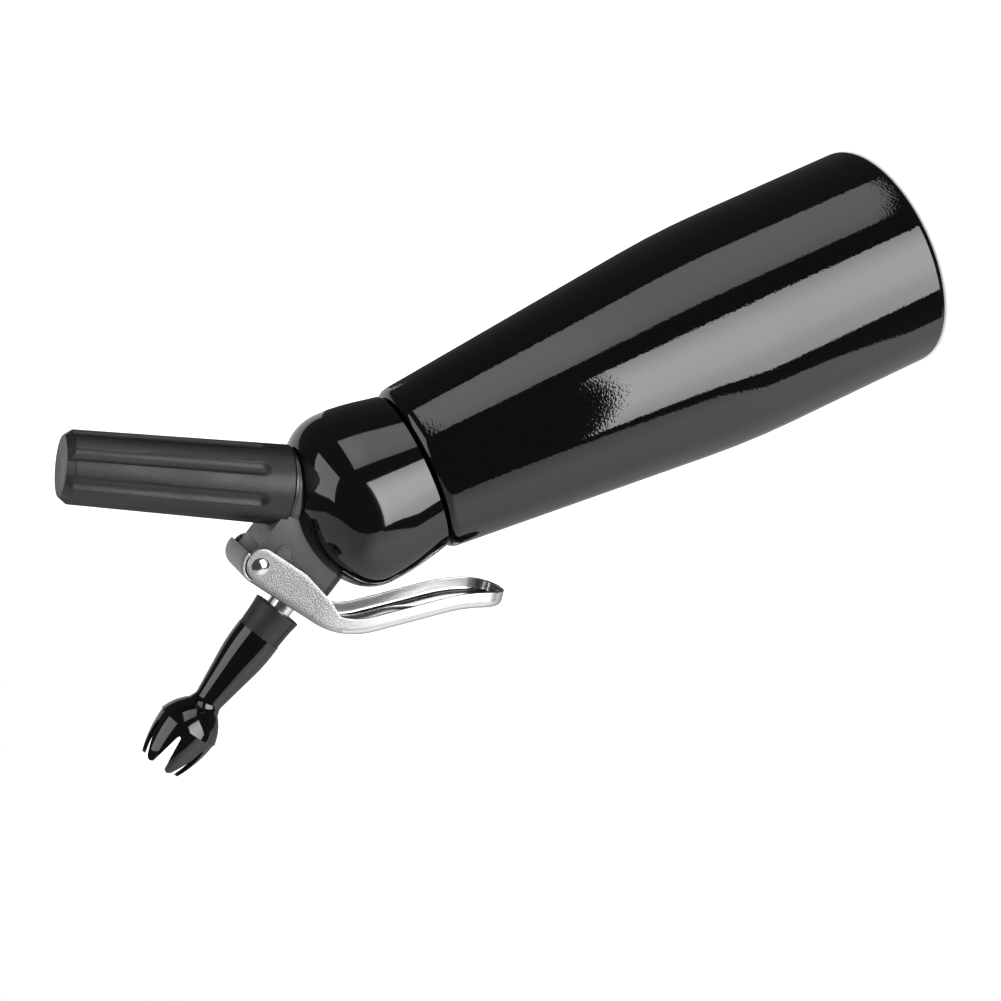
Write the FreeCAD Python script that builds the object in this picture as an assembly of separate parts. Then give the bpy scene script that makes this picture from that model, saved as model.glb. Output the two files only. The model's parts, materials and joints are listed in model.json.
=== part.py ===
"""Half-litre whipped cream dispenser, an assembly of separate pieces.

Frame: +Z up the bottle, origin at the centre of the bottle's foot, XZ is the plane of symmetry.
The charger holder leans towards +X, the dispensing valve with its lever and nozzle towards -X.
Two slanted axes cross the bottle's axis inside the head, and each carries a frame of its own:
the port frame for the charger side and the valve frame for the dispensing side. In both, local Z
runs outwards along the slanted axis and local X points to the +X side of it. Lengths in mm.
"""
import FreeCAD, Part
import math
import os
from FreeCAD import Placement, Rotation, Vector

# ---------------------------------------------------------------- bottle, drawn aluminium
bottle_radius = 40.0
bottle_wall = 1.8
bottle_floor = 3.0
foot_corner = 1.2            # rounding between the foot and the side
inner_corner = 5.0           # rounding between the floor and the side, inside
straight_height = 57.0       # the side is straight up to here
shoulder_height = 188.0      # flat top of the shoulder
taper_angle = 5.8            # degrees, the side's lean above the bend
taper_bend_radius = 330.0    # the bend from straight to tapered
shoulder_radius = 4.0
neck_radius = 21.5           # crest of the neck's thread
neck_bore = 18.8
neck_height = 12.7

# ---------------------------------------------------------------- head, moulded plastic
skirt_gap = 0.7              # between the shoulder and the head's skirt
seat_gap = 0.05              # between a soft seat and the separate body that presses on it
skirt_radius = 27.4
skirt_lean = 11.0            # degrees, the skirt widens upwards
belly_radius = 30.3          # widest radius of the head
belly_height = 22.1          # above the bottle's shoulder
crown_round = 16.4           # rounding from the belly to the crown
crown_turn = 45.0            # degrees that this rounding turns through
gasket_thickness = 2.5
gasket_inner_radius = 17.8
chamber_radius = 17.0        # hollow above the gasket
chamber_side = 7.0
chamber_top_radius = 9.0
chamber_top = 11.0
thread_clearance = 0.05      # radial, every screwed pair is stood in for by plain cylinders
running_clearance = 0.05     # radial, pin and stem

# ---------------------------------------------------------------- the two slanted axes
branch_angle = 29.6          # degrees from the bottle's axis, one to each side
branch_height = 16.5         # where both cross the bottle's axis, above the shoulder

# ---------------------------------------------------------------- port axis, charger side
port_boss_radius = 12.7
port_ring_radius = 12.5
port_ring_thickness = 0.8
port_relief = 0.65           # room round the holder where it passes the valve tower
port_ring_face = 28.4        # outer face of the bright ring, along the port axis
port_shank_radius = 6.0
port_shank_start = 17.0
port_stub_radius = 9.8
port_stub_length = 9.7
port_socket_radius = 4.7     # takes the charger's neck
port_seal_thickness = 1.5
port_seal_seat = 29.1
port_passage_radius = 1.6
check_valve_radius = 5.0
check_valve_thickness = 2.0
piercer_body_radius = 2.5
piercer_body_start = 19.0
piercer_body_length = 7.5
piercer_needle_radius = 1.2
piercer_bore_radius = 0.5
piercer_reach = 2.2          # how far the needle stands past the seal
piercer_bevel = 1.4          # length of the needle's ground point

# ---------------------------------------------------------------- charger holder
holder_gap = 0.15            # between the bright ring and the holder's root
holder_length = 72.3
holder_root_radius = 13.2
holder_end_radius = 11.7
holder_end_face_radius = 9.8
holder_bevel_length = 2.6
holder_dish = 0.6            # hollow of the end face
holder_root_round = 0.5
holder_end_wall = 4.5
holder_insert_radius = 11.2
holder_insert_length = 10.8
flute_count = 8
flute_start = 7.6            # from the root to where the flutes begin
flute_depth = 1.1
flute_cutter_radius = 3.3
flute_phase = 32.0           # degrees from -Y towards the outside of the port's plane

# ---------------------------------------------------------------- 8 g charger
charger_radius = 9.1
charger_clearance = 0.25     # between the charger and the holder's bore
charger_end_gap = 0.2        # between the charger's base and the end of that bore
charger_neck_radius = 4.2
charger_neck_length = 7.2
charger_base_round = 6.0
charger_wall = 1.3
charger_neck_bore = 2.6
charger_cap_thickness = 0.5

# ---------------------------------------------------------------- valve axis
guide_face = 8.3            # inner face of the guide, where the seal closes, along the axis
guide_flange_thickness = 1.6
guide_flange_radius = 9.0
guide_radius = 7.5
guide_end = 27.4
guide_ring_groove = 23.4     # place of the ring between guide and head
stem_radius = 4.5
stem_neck_radius = 3.0
stem_neck_end = 17.4
stem_bore_radius = 2.0
stem_port_radius = 1.2
stem_port_place = 12.9
stem_ring_place = 21.4
stem_end = 59.4              # its thread takes the nozzle
poppet_radius = 6.6
poppet_thickness = 1.8
poppet_seal_radius = 6.2
poppet_seal_thickness = 1.6
seal_ring_section = 1.0      # radius of the cord of both sealing rings
seal_ring_sunk = 0.9         # share of the cord's thickness that its groove takes
collar_radius = 7.0
collar_thickness = 2.0
spring_wire_radius = 0.5
spring_mean_radius = 5.3
spring_turns = 6
spring_bore_radius = 6.3

# ---------------------------------------------------------------- valve tower and lever lug
tower_radius = 10.5
tower_top = 35.6
tower_half_width = 9.2
lug_reach = 21.8             # how far the tower reaches towards the charger side
lug_radius = 4.4
lug_foot_width = 9.0         # width of the lug where it leaves the tower
tower_boss_radius = 3.2      # round boss low on each side of the tower
tower_boss_height = 0.4
tower_boss_x = 13.2
tower_boss_z = 32.3
pin_x = 18.1                 # lever pin in the valve frame
pin_z = 39.95
pin_radius = 2.2
pin_head_radius = 2.9
pin_head_height = 1.1

# ---------------------------------------------------------------- lever, stamped stainless sheet
lever_width = 22.0
sheet = 1.0
lever_tilt = 2.7             # degrees, the web's lean to the valve's cross plane
lever_nose_radius = 6.15     # outside of the curl round the pin
lever_curl_angle = 105.0     # degrees that the web curls round the nose
lever_slit = 0.45            # between the curl and the side plates' noses
lever_bend_start = 38.9      # along the web, from the pin to the corner of the bend
lever_bend_angle = 46.1
lever_bend_radius = 28.0
lever_flare_start = 47.8     # from that corner to the corner of the flare
lever_flare_angle = 22.0
lever_flare_radius = 55.0
lever_tip_length = 11.8
lever_rim_height = 5.7       # height of the handle's walls, outside
lever_tip_round = 9.5        # rounding of the handle's end, seen in plan
plate_depth = 5.9            # side plate's edge, below the pin
plate_front_round = 4.5
plate_straight = 14.7        # the edge is straight up to here, then slopes up to the handle
plate_slope_x = 27.2
plate_slope_depth = 3.0
plate_corner_x = 36.0
plate_corner_round = 4.5
plate_edge_round = 25.0
rib_width = 5.0              # rib pressed into the handle, hollow outside
rib_height = 3.8             # crest above the web's outside
rib_lead = 12.5              # from its start to the corner of the bend
rib_length = 41.0            # from that corner to its end
stem_hole_clearance = 1.1

# ---------------------------------------------------------------- nozzle, moulded plastic tip
nozzle_start = 48.65         # rim of the collar, along the valve axis
nozzle_rim_radius = 8.4
nozzle_collar_waist = 7.85
nozzle_collar_end_radius = 7.65
nozzle_collar_length = 10.1
nozzle_slit_width = 0.35     # fine groove along the collar
nozzle_slit_depth = 0.35
nozzle_slit_angle = -35.0    # degrees from -Y towards the port side
nozzle_body_radius = 7.9
nozzle_body_end = 17.4       # the body is straight up to here, from the rim
nozzle_body_round = 55.0
nozzle_neck_radius = 4.85
nozzle_neck_place = 37.4
nozzle_neck_round = 3.0
tulip_radius = 10.75
tulip_place = 47.9           # parting line, the widest part
tulip_shoulder_radius = 9.0
tulip_shoulder_place = 43.7
tulip_ridge = 0.3            # step at the parting line
tulip_low_radius = 9.75
tulip_low_place = 54.8
tip_radius = 7.1
tip_place = 63.3
tip_wall = 1.3
tip_half_width = 1.1         # half a prong's width at its rounded end
prong_count = 6
prong_gap_start = 51.0
prong_gap_round = 0.6        # half the gap's width at its closed end
prong_phase = 22.0           # degrees from -Y to the middle of the first gap
nozzle_channel_radius = 2.6
nozzle_socket_spare = 0.5    # past the stem's end

# ---------------------------------------------------------------- places worked out from the sizes
mouth_height = shoulder_height + neck_height
gasket_seat = mouth_height + seat_gap + gasket_thickness
skirt_bottom = shoulder_height + skirt_gap
belly_level = shoulder_height + belly_height
crossing = Vector(0, 0, shoulder_height + branch_height)
port_frame = Placement(crossing, Rotation(Vector(0, 1, 0), branch_angle))
valve_frame = Placement(crossing, Rotation(Vector(0, 1, 0), -branch_angle))
lever_place = Placement(Vector(pin_x, 0, pin_z), Rotation(Vector(0, 1, 0), -lever_tilt))
lever_frame = valve_frame.multiply(lever_place)
plate_front = lever_nose_radius - sheet - lever_slit
origin = Vector(0, 0, 0)
up = Vector(0, 0, 1)


# ---------------------------------------------------------------- helpers
def deg(angle):
    return math.radians(angle)


def at(x, z, y=0.0):
    """A point in the XZ plane, or beside it."""
    return Vector(x, y, z)


def wire(points):
    """Closed wire in the XZ plane. A point is (x, z), or (x, z, mx, mz) for an arc through (mx, mz)."""
    edges = []
    start = at(*points[-1][:2])
    for point in points:
        end = at(point[0], point[1])
        if len(point) == 4:
            edges.append(Part.Arc(start, at(point[2], point[3]), end).toShape())
        elif (end - start).Length > 1e-6:
            edges.append(Part.LineSegment(start, end).toShape())
        start = end
    return Part.Wire(edges)


def lathe(points):
    """Solid turned round the Z axis from a closed outline of (radius, height) points."""
    return Part.Face(wire(points)).revolve(origin, up, 360)


def slab(points, half_width):
    """Solid with an outline in the XZ plane, spread evenly to both sides of it."""
    face = Part.Face(wire(points))
    face.translate(Vector(0, -half_width, 0))
    return face.extrude(Vector(0, 2 * half_width, 0))


def rod(radius, start, end):
    """Cylinder on the Z axis."""
    return Part.makeCylinder(radius, end - start, Vector(0, 0, start), up)


def tube(outer, inner, start, end):
    return rod(outer, start, end).cut(rod(inner, start - 1, end + 1))


def cross_rod(radius, x, z, half_length):
    """Cylinder across the plane of symmetry."""
    return Part.makeCylinder(radius, 2 * half_length, Vector(x, -half_length, z), Vector(0, 1, 0))


def placed(shape, frame):
    shape = shape.copy()
    shape.Placement = frame.multiply(shape.Placement)
    return shape


def arc_point(cx, cz, radius, angle):
    return (cx + radius * math.cos(deg(angle)), cz + radius * math.sin(deg(angle)))


def arc_to(cx, cz, radius, first, last):
    """Outline point at the end of an arc about (cx, cz), with the arc's middle point."""
    return arc_point(cx, cz, radius, last) + arc_point(cx, cz, radius, (first + last) / 2)


def rounded_path(corners, radii, offset):
    """Outline points along a line of corners, moved sideways to its left by the offset.

    radii gives the rounding of each inner corner on the line itself. A left turn's arc shrinks
    by the offset and a right turn's grows by it, so two offsets stay parallel.
    """
    count = len(corners)
    headings = []
    for (x0, z0), (x1, z1) in zip(corners, corners[1:]):
        headings.append(math.atan2(z1 - z0, x1 - x0))
    path = []
    for i, (x, z) in enumerate(corners):
        before = headings[max(i - 1, 0)]
        after = headings[min(i, count - 2)]
        turn = math.remainder(after - before, 2 * math.pi)
        middle = before + turn / 2
        reach = offset / math.cos(turn / 2)
        cx = x - math.sin(middle) * reach
        cz = z + math.cos(middle) * reach
        if i in (0, count - 1):
            path.append((cx, cz))
            continue
        radius = radii[i - 1] - math.copysign(offset, turn)
        tangent = radius * math.tan(abs(turn) / 2)
        sagitta = radius / math.cos(turn / 2) - radius
        side = math.copysign(1.0, turn)
        first = (cx - math.cos(before) * tangent, cz - math.sin(before) * tangent)
        last = (cx + math.cos(after) * tangent, cz + math.sin(after) * tangent)
        crown = (cx - side * math.sin(middle) * sagitta, cz + side * math.cos(middle) * sagitta)
        path.append(first)
        path.append(last + crown)
    return path


def backwards(path):
    """The same outline points, walked the other way."""
    result = [path[-1][:2]]
    for point, previous in zip(reversed(path), reversed(path[:-1])):
        result.append(previous[:2] + tuple(point[2:]))
    return result


# ---------------------------------------------------------------- bottle
def bottle_side(offset):
    """Outline points up the side from the straight part to the shoulder, moved in by the wall."""
    radius = bottle_radius - offset
    bend_centre = bottle_radius - taper_bend_radius
    bend_top = arc_to(bend_centre, straight_height, taper_bend_radius - offset, 0, taper_angle)
    rise = shoulder_height - offset - bend_top[1]
    shoulder_edge = (bend_top[0] - rise * math.tan(deg(taper_angle)), shoulder_height - offset)
    return [(radius, straight_height), bend_top, shoulder_edge]


def make_bottle():
    side = bottle_side(0.0)
    edge_x, edge_z = side[-1][:2]
    # the shoulder's rounding touches the tapered side and the flat top
    half_turn = deg(90 - taper_angle) / 2
    tangent = shoulder_radius * math.tan(half_turn)
    centre_x = edge_x - tangent
    centre_z = edge_z - shoulder_radius
    bend_centre = bottle_radius - taper_bend_radius
    low = arc_point(centre_x, centre_z, shoulder_radius, taper_angle)
    outline = [
        (0, 0),
        (bottle_radius - foot_corner, 0),
        arc_to(bottle_radius - foot_corner, foot_corner, foot_corner, -90, 0),
        side[0],
        side[1],
        low,
        arc_to(centre_x, centre_z, shoulder_radius, taper_angle, 90),
        (neck_radius, shoulder_height),
        (neck_radius, mouth_height),
        (neck_bore, mouth_height),
    ]
    inner = bottle_side(bottle_wall)
    outline += [
        (neck_bore, inner[2][1]),
        (inner[2][0] - shoulder_radius, inner[2][1]),
        (inner[2][0] + shoulder_radius * math.tan(deg(taper_angle)), inner[2][1] - shoulder_radius),
        inner[1][:2],
        inner[0] + arc_point(bend_centre, straight_height, taper_bend_radius - bottle_wall, taper_angle / 2),
        (bottle_radius - bottle_wall, bottle_floor + inner_corner),
        arc_to(bottle_radius - bottle_wall - inner_corner, bottle_floor + inner_corner, inner_corner, 0, -90),
        (0, bottle_floor),
    ]
    return lathe(outline)


# ---------------------------------------------------------------- head
def head_outside():
    """Turned body of the head: a skirt that widens upwards, a round belly and a flat crown."""
    lean = deg(skirt_lean)
    belly_centre = belly_radius - crown_round
    # the lower belly is an arc from the skirt's lean to upright
    lower_round = (belly_radius - skirt_radius - (belly_level - skirt_bottom) * math.tan(lean)) / (
        1 - math.cos(lean) - math.sin(lean) * math.tan(lean))
    skirt_top = arc_point(belly_radius - lower_round, belly_level, lower_round, -skirt_lean)
    side_end = arc_point(belly_centre, belly_level, crown_round, crown_turn)
    crown_radius = side_end[0] / math.cos(deg(crown_turn))
    crown_centre = side_end[1] - crown_radius * math.sin(deg(crown_turn))
    outline = [
        (0, skirt_bottom),
        (skirt_radius, skirt_bottom),
        skirt_top,
        arc_to(belly_radius - lower_round, belly_level, lower_round, -skirt_lean, 0),
        arc_to(belly_centre, belly_level, crown_round, 0, crown_turn),
        arc_to(0, crown_centre, crown_radius, crown_turn, 90),
    ]
    return lathe(outline)


def head_hollow():
    """Threaded socket for the neck, gasket seat and the chamber above them."""
    thread = neck_radius + thread_clearance
    outline = [
        (0, skirt_bottom - 1),
        (thread, skirt_bottom - 1),
        (thread, gasket_seat),
        (chamber_radius, gasket_seat),
        (chamber_radius, gasket_seat + chamber_side),
        (chamber_top_radius, gasket_seat + chamber_top),
        (0, gasket_seat + chamber_top),
    ]
    return lathe(outline)


def tower_solid():
    """Valve tower with flat sides, and the lug that carries the lever's pin, in the valve frame."""
    root = chamber_radius
    tower = rod(tower_radius, root, tower_top)
    tower = tower.common(slab([(-tower_radius - 1, root - 1), (tower_radius + 1, root - 1),
                               (tower_radius + 1, tower_top + 1), (-tower_radius - 1, tower_top + 1)],
                              tower_half_width))
    arm = slab([(0, root), (lug_reach, root), (lug_reach, tower_top), (0, tower_top)], tower_half_width)
    lug_left = pin_x - lug_radius
    lug = slab([
        (lug_reach - lug_foot_width, tower_top - 1),
        (lug_reach, tower_top - 1),
        (pin_x + lug_radius, pin_z),
        arc_to(pin_x, pin_z, lug_radius, 0, 180),
        (lug_left, tower_top - 1),
    ], tower_half_width)
    bosses = cross_rod(tower_boss_radius, tower_boss_x, tower_boss_z, tower_half_width + tower_boss_height)
    return tower.fuse([arm, lug, bosses])


def make_head_shell():
    port_top = port_ring_face - port_ring_thickness
    boss = placed(rod(port_boss_radius, chamber_radius, port_top), port_frame)
    body = head_outside().fuse([boss, placed(tower_solid(), valve_frame)])
    inside = [
        head_hollow(),
        placed(rod(port_shank_radius, port_shank_start - check_valve_thickness, port_top + 1), port_frame),
        placed(rod(port_passage_radius, 0, port_top), port_frame),
        placed(rod(guide_flange_radius, 0, guide_face + guide_flange_thickness), valve_frame),
        placed(rod(guide_radius, 0, guide_end), valve_frame),
        placed(rod(spring_bore_radius, guide_end - 1, tower_top + 1), valve_frame),
        placed(cross_rod(pin_radius + running_clearance, pin_x, pin_z, lever_width), valve_frame),
        placed(rod(holder_root_radius + port_relief, port_top, 3 * port_ring_face), port_frame),
    ]
    return body.cut(inside).removeSplitter()


def make_head_gasket():
    return tube(neck_radius, gasket_inner_radius, mouth_height + seat_gap, gasket_seat)


# ---------------------------------------------------------------- charger port
def make_charger_port():
    socket_floor = port_seal_seat
    stub_end = port_ring_face + port_stub_length
    body = lathe([
        (0, port_shank_start),
        (port_shank_radius, port_shank_start),
        (port_shank_radius, port_ring_face - port_ring_thickness),
        (port_ring_radius, port_ring_face - port_ring_thickness),
        (port_ring_radius, port_ring_face),
        (port_stub_radius, port_ring_face),
        (port_stub_radius, stub_end - 1),
        (port_stub_radius - 1, stub_end),
        (0, stub_end),
    ])
    piercer_end = piercer_body_start + piercer_body_length
    body = body.cut([
        rod(port_socket_radius, socket_floor, stub_end + 1),
        rod(piercer_body_radius, piercer_body_start, piercer_end),
        rod(piercer_needle_radius, piercer_end - 1, socket_floor + 1),
        rod(port_passage_radius, port_shank_start - 1, piercer_body_start + 1),
    ])
    return placed(body, port_frame)


def make_check_valve():
    """Soft one-way disc under the port's shank, with a dimple and four side slots."""
    top = port_shank_start
    bottom = top - check_valve_thickness
    disc = rod(check_valve_radius, bottom, top)
    disc = disc.cut(rod(port_passage_radius, bottom - 1, top - check_valve_thickness / 2))
    slot = Part.makeBox(2 * check_valve_radius, 1.0, check_valve_thickness / 2)
    slot.translate(Vector(-check_valve_radius, -0.5, top - check_valve_thickness / 2))
    turned = slot.copy()
    turned.rotate(origin, up, 90)
    return placed(disc.cut([slot, turned]), port_frame)


def make_piercing_pin():
    body_end = piercer_body_start + piercer_body_length
    tip = port_seal_seat + port_seal_thickness + piercer_reach
    pin = rod(piercer_body_radius, piercer_body_start, body_end)
    pin = pin.fuse(rod(piercer_needle_radius, body_end, tip))
    pin = pin.cut(rod(piercer_bore_radius, piercer_body_start - 1, tip + 1))
    point = slab([
        (-piercer_needle_radius - 0.1, tip - piercer_bevel),
        (piercer_needle_radius + 0.1, tip + 0.1),
        (-piercer_needle_radius - 0.1, tip + 0.1),
    ], 2 * piercer_needle_radius)
    return placed(pin.cut(point), port_frame)


def make_port_seal():
    return placed(tube(port_socket_radius, piercer_needle_radius, port_seal_seat,
                       port_seal_seat + port_seal_thickness), port_frame)


# ---------------------------------------------------------------- charger and its holder
holder_root = port_ring_face + holder_gap
holder_end = holder_root + holder_length
holder_bore_end = holder_end - holder_end_wall
charger_mouth = port_seal_seat + port_seal_thickness + seat_gap
charger_base = holder_bore_end - charger_end_gap
charger_neck_rise = math.sqrt(charger_radius**2 - charger_neck_radius**2)
charger_shoulder_centre = charger_mouth + charger_neck_length + charger_neck_rise


def flask(radius, neck, start, base, base_round):
    """Outline of a flask: neck, ball-shaped shoulder, straight side and rounded base."""
    rise = math.sqrt(radius**2 - neck**2)
    neck_angle = -math.degrees(math.atan2(rise, neck))
    return [
        (0, start),
        (neck, start),
        (neck, charger_shoulder_centre - rise),
        arc_to(0, charger_shoulder_centre, radius, neck_angle, 0),
        (radius, base - base_round),
        arc_to(radius - base_round, base - base_round, base_round, 0, 90),
        (0, base),
    ]


def make_charger():
    outside = flask(charger_radius, charger_neck_radius, charger_mouth + charger_cap_thickness, charger_base,
                    charger_base_round)
    inside = flask(charger_radius - charger_wall, charger_neck_bore, charger_mouth,
                   charger_base - charger_wall, charger_base_round - charger_wall)
    return placed(lathe(outside).cut(lathe(inside)), port_frame)


def make_charger_cap():
    """Thin pierced cap crimped over the charger's mouth."""
    return placed(tube(charger_neck_radius, piercer_needle_radius + running_clearance, charger_mouth,
                       charger_mouth + charger_cap_thickness), port_frame)


def holder_radius_at(place):
    share = (place - holder_root) / holder_length
    return holder_root_radius + share * (holder_end_radius - holder_root_radius)


def holder_flute(number):
    """Round-nosed cutter for one flute, which runs out through the holder's end."""
    start = holder_root + flute_start + flute_cutter_radius
    lean = math.degrees(math.atan2(holder_root_radius - holder_end_radius, holder_length))
    cutter = rod(flute_cutter_radius, 0, holder_length).fuse(Part.makeSphere(flute_cutter_radius))
    cutter.rotate(origin, Vector(0, 1, 0), -lean)
    cutter.translate(Vector(holder_radius_at(start) - flute_depth + flute_cutter_radius, 0, start))
    cutter.rotate(origin, up, flute_phase - 90 + number * 360 / flute_count)
    return cutter


def make_charger_holder():
    side_end = holder_end - holder_bevel_length
    bore = charger_radius + charger_clearance
    dish_ball = (holder_end_face_radius**2 + holder_dish**2) / (2 * holder_dish)
    dish_edge = math.degrees(math.asin(holder_end_face_radius / dish_ball))
    body = lathe([
        (0, holder_root),
        (holder_root_radius - holder_root_round, holder_root),
        (holder_root_radius, holder_root + holder_root_round),
        (holder_radius_at(side_end), side_end),
        (holder_end_face_radius, holder_end),
        arc_to(0, holder_end - holder_dish + dish_ball, dish_ball, dish_edge - 90, -90),
    ])
    hollow = lathe([
        (0, holder_root - 1),
        (holder_insert_radius, holder_root - 1),
        (holder_insert_radius, holder_root + holder_insert_length),
        (bore, holder_root + holder_insert_length),
        (bore, holder_bore_end - charger_base_round),
        arc_to(bore - charger_base_round, holder_bore_end - charger_base_round, charger_base_round, 0, 90),
        (0, holder_bore_end),
    ])
    flutes = [holder_flute(i) for i in range(flute_count)]
    return placed(body.cut([hollow] + flutes), port_frame)


def make_holder_insert():
    """Threaded metal sleeve moulded into the holder's mouth."""
    return placed(tube(holder_insert_radius, port_stub_radius + thread_clearance, holder_root,
                       holder_root + holder_insert_length), port_frame)


# ---------------------------------------------------------------- valve
def web_inside(x, press):
    """Height of the web's inner face in the valve frame at x, with the lever pressed by some degrees."""
    tilt = deg(lever_tilt + press)
    return pin_z + (lever_nose_radius - sheet + (x - pin_x) * math.sin(tilt)) / math.cos(tilt)


collar_top = web_inside(-collar_radius, 0) - running_clearance
stem_bore_in_guide = stem_radius + running_clearance
stem_groove_radius = stem_bore_in_guide - 2 * seal_ring_section * seal_ring_sunk
guide_groove_radius = guide_radius - 2 * seal_ring_section * seal_ring_sunk
seal_half = seal_ring_section + 0.1


def seal_ring(groove_radius, outer, place):
    """Sealing ring in its groove, pressed flat by the groove's floor and by the bore round it."""
    ring = Part.makeTorus(groove_radius + seal_ring_section, seal_ring_section, Vector(0, 0, place), up)
    return ring.common(tube(outer, groove_radius, place - seal_half, place + seal_half))


def ring_groove(outer, groove_radius, place):
    return tube(outer, groove_radius, place - seal_half, place + seal_half)


def make_valve_guide():
    guide = lathe([
        (0, guide_face),
        (guide_flange_radius, guide_face),
        (guide_flange_radius, guide_face + guide_flange_thickness),
        (guide_radius, guide_face + guide_flange_thickness),
        (guide_radius, guide_end),
        (0, guide_end),
    ])
    guide = guide.cut([
        rod(stem_bore_in_guide, guide_face - 1, guide_end + 1),
        ring_groove(guide_radius + 1, guide_groove_radius, guide_ring_groove),
    ])
    return placed(guide, valve_frame)


def make_guide_ring():
    return placed(seal_ring(guide_groove_radius, guide_radius, guide_ring_groove), valve_frame)


def make_stem_ring():
    outer = stem_radius + running_clearance / 2
    return placed(seal_ring(stem_groove_radius, outer, stem_ring_place), valve_frame)


def make_valve_stem():
    seal_bottom = guide_face - seat_gap - poppet_seal_thickness
    poppet_bottom = seal_bottom - poppet_thickness
    stem = lathe([
        (0, poppet_bottom),
        (poppet_radius - 0.6, poppet_bottom),
        (poppet_radius, poppet_bottom + 0.6),
        (poppet_radius, seal_bottom),
        (stem_neck_radius, seal_bottom),
        (stem_neck_radius, stem_neck_end - 1.5),
        (stem_radius, stem_neck_end),
        (stem_radius, stem_end - 0.8),
        (stem_radius - 0.8, stem_end),
        (0, stem_end),
    ])
    side_port = Part.makeCylinder(stem_port_radius, 2 * stem_radius, Vector(-stem_radius, 0, stem_port_place),
                                  Vector(1, 0, 0))
    stem = stem.cut([
        rod(stem_bore_radius, seal_bottom + 1, stem_end + 1),
        side_port,
        ring_groove(stem_radius + 1, stem_groove_radius, stem_ring_place),
    ])
    return placed(stem, valve_frame)


def make_poppet_seal():
    top = guide_face - seat_gap
    return placed(tube(poppet_seal_radius, stem_neck_radius, top - poppet_seal_thickness, top), valve_frame)


def make_stem_collar():
    """Collar on the stem under the lever's web, which presses on its rim."""
    return placed(tube(collar_radius, stem_radius, collar_top - collar_thickness, collar_top), valve_frame)


def make_valve_spring():
    bottom = guide_end + spring_wire_radius
    top = collar_top - collar_thickness - spring_wire_radius
    helix = Part.makeHelix((top - bottom) / spring_turns, top - bottom, spring_mean_radius)
    helix.translate(Vector(0, 0, bottom))
    section = Part.Wire(Part.makeCircle(spring_wire_radius, Vector(spring_mean_radius, 0, bottom),
                                        Vector(0, 1, 0)))
    coil = Part.Wire(helix).makePipeShell([section], True, True)
    return placed(coil, valve_frame)


# ---------------------------------------------------------------- lever
def on_heading(point, length, heading):
    return (point[0] + length * math.cos(heading), point[1] + length * math.sin(heading))


# corners of the web's outside in the lever frame: over the pin, bend, flare, tip
handle_heading = deg(180 + lever_bend_angle)
web_start = (0.0, lever_nose_radius)
web_bend = (-lever_bend_start, lever_nose_radius)
web_flare = on_heading(web_bend, lever_flare_start, handle_heading)
web_tip = on_heading(web_flare, lever_tip_length, handle_heading - deg(lever_flare_angle))
web_corners = [web_start, web_bend, web_flare, web_tip]
web_rounds = [lever_bend_radius, lever_flare_radius]


def lever_outside():
    """Side view of the filled lever: web, tip, rim, free edge of the side plates and their front."""
    rim = rounded_path(web_corners, web_rounds, lever_rim_height)
    rim_start = rim[3]
    rim_slope = math.tan(handle_heading)
    corner = (-plate_corner_x, rim_start[1] + (-plate_corner_x - rim_start[0]) * rim_slope)
    edge = rounded_path([
        rim_start[:2],
        corner,
        (-plate_slope_x, -plate_slope_depth),
        (-plate_straight, -plate_depth),
        (plate_front, -plate_depth),
        (plate_front, 0.0),
    ], [plate_corner_round, plate_edge_round, plate_edge_round, plate_front_round], 0.0)
    outline = rounded_path(web_corners, web_rounds, 0.0) + backwards(rim[3:]) + edge[1:]
    outline.append(arc_to(0, 0, plate_front, 0, 90))
    return outline


def lever_inside():
    """Side view of the room inside the web, open towards the bottle and past the front."""
    web = rounded_path(web_corners, web_rounds, sheet)
    far = rounded_path(web_corners, web_rounds, lever_rim_height + 8)
    front = 3 * plate_front
    return [(front, web[0][1])] + web + backwards(far) + [(front, far[0][1])]


def handle_plan(half_width, corner, inset):
    """Prism square to the handle's tip: straight sides and a rounded end."""
    heading = handle_heading - deg(lever_flare_angle)
    along = Vector(-math.cos(heading), 0, -math.sin(heading))
    normal = Vector(along.z, 0, -along.x)
    end = Vector(web_tip[0], 0, web_tip[1]) + along * inset
    mid = corner * (1 - math.sqrt(0.5))
    reach = 200.0

    def spot(a, b):
        return end + along * a + Vector(0, b, 0)

    edges = [
        Part.LineSegment(spot(reach, -half_width), spot(corner, -half_width)),
        Part.Arc(spot(corner, -half_width), spot(mid, mid - half_width), spot(0, corner - half_width)),
        Part.LineSegment(spot(0, corner - half_width), spot(0, half_width - corner)),
        Part.Arc(spot(0, half_width - corner), spot(mid, half_width - mid), spot(corner, half_width)),
        Part.LineSegment(spot(corner, half_width), spot(reach, half_width)),
        Part.LineSegment(spot(reach, half_width), spot(reach, -half_width)),
    ]
    face = Part.Face(Part.Wire([edge.toShape() for edge in edges]))
    face.translate(normal * -reach)
    return face.extrude(normal * (2 * reach))


def curl():
    """The web's front end, rolled round the side plates' noses."""
    outer = lever_nose_radius
    inner = outer - sheet
    last = 90 - lever_curl_angle
    return slab([
        (0, inner),
        (0, outer),
        arc_to(0, 0, outer, 90, last),
        arc_point(0, 0, inner, last),
        arc_to(0, 0, inner, last, 90),
    ], lever_width / 2)


def rib(low, high, half_width, shortened):
    """Raised band along the middle of the handle, between two distances from the web's outside."""
    start = (-(lever_bend_start - rib_lead + shortened), lever_nose_radius)
    end = on_heading(web_bend, rib_length - shortened, handle_heading)
    corners = [start, web_bend, end]
    path = rounded_path(corners, [lever_bend_radius], low)
    crest = rounded_path(corners, [lever_bend_radius], high)
    return slab(path + backwards(crest), half_width)


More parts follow.
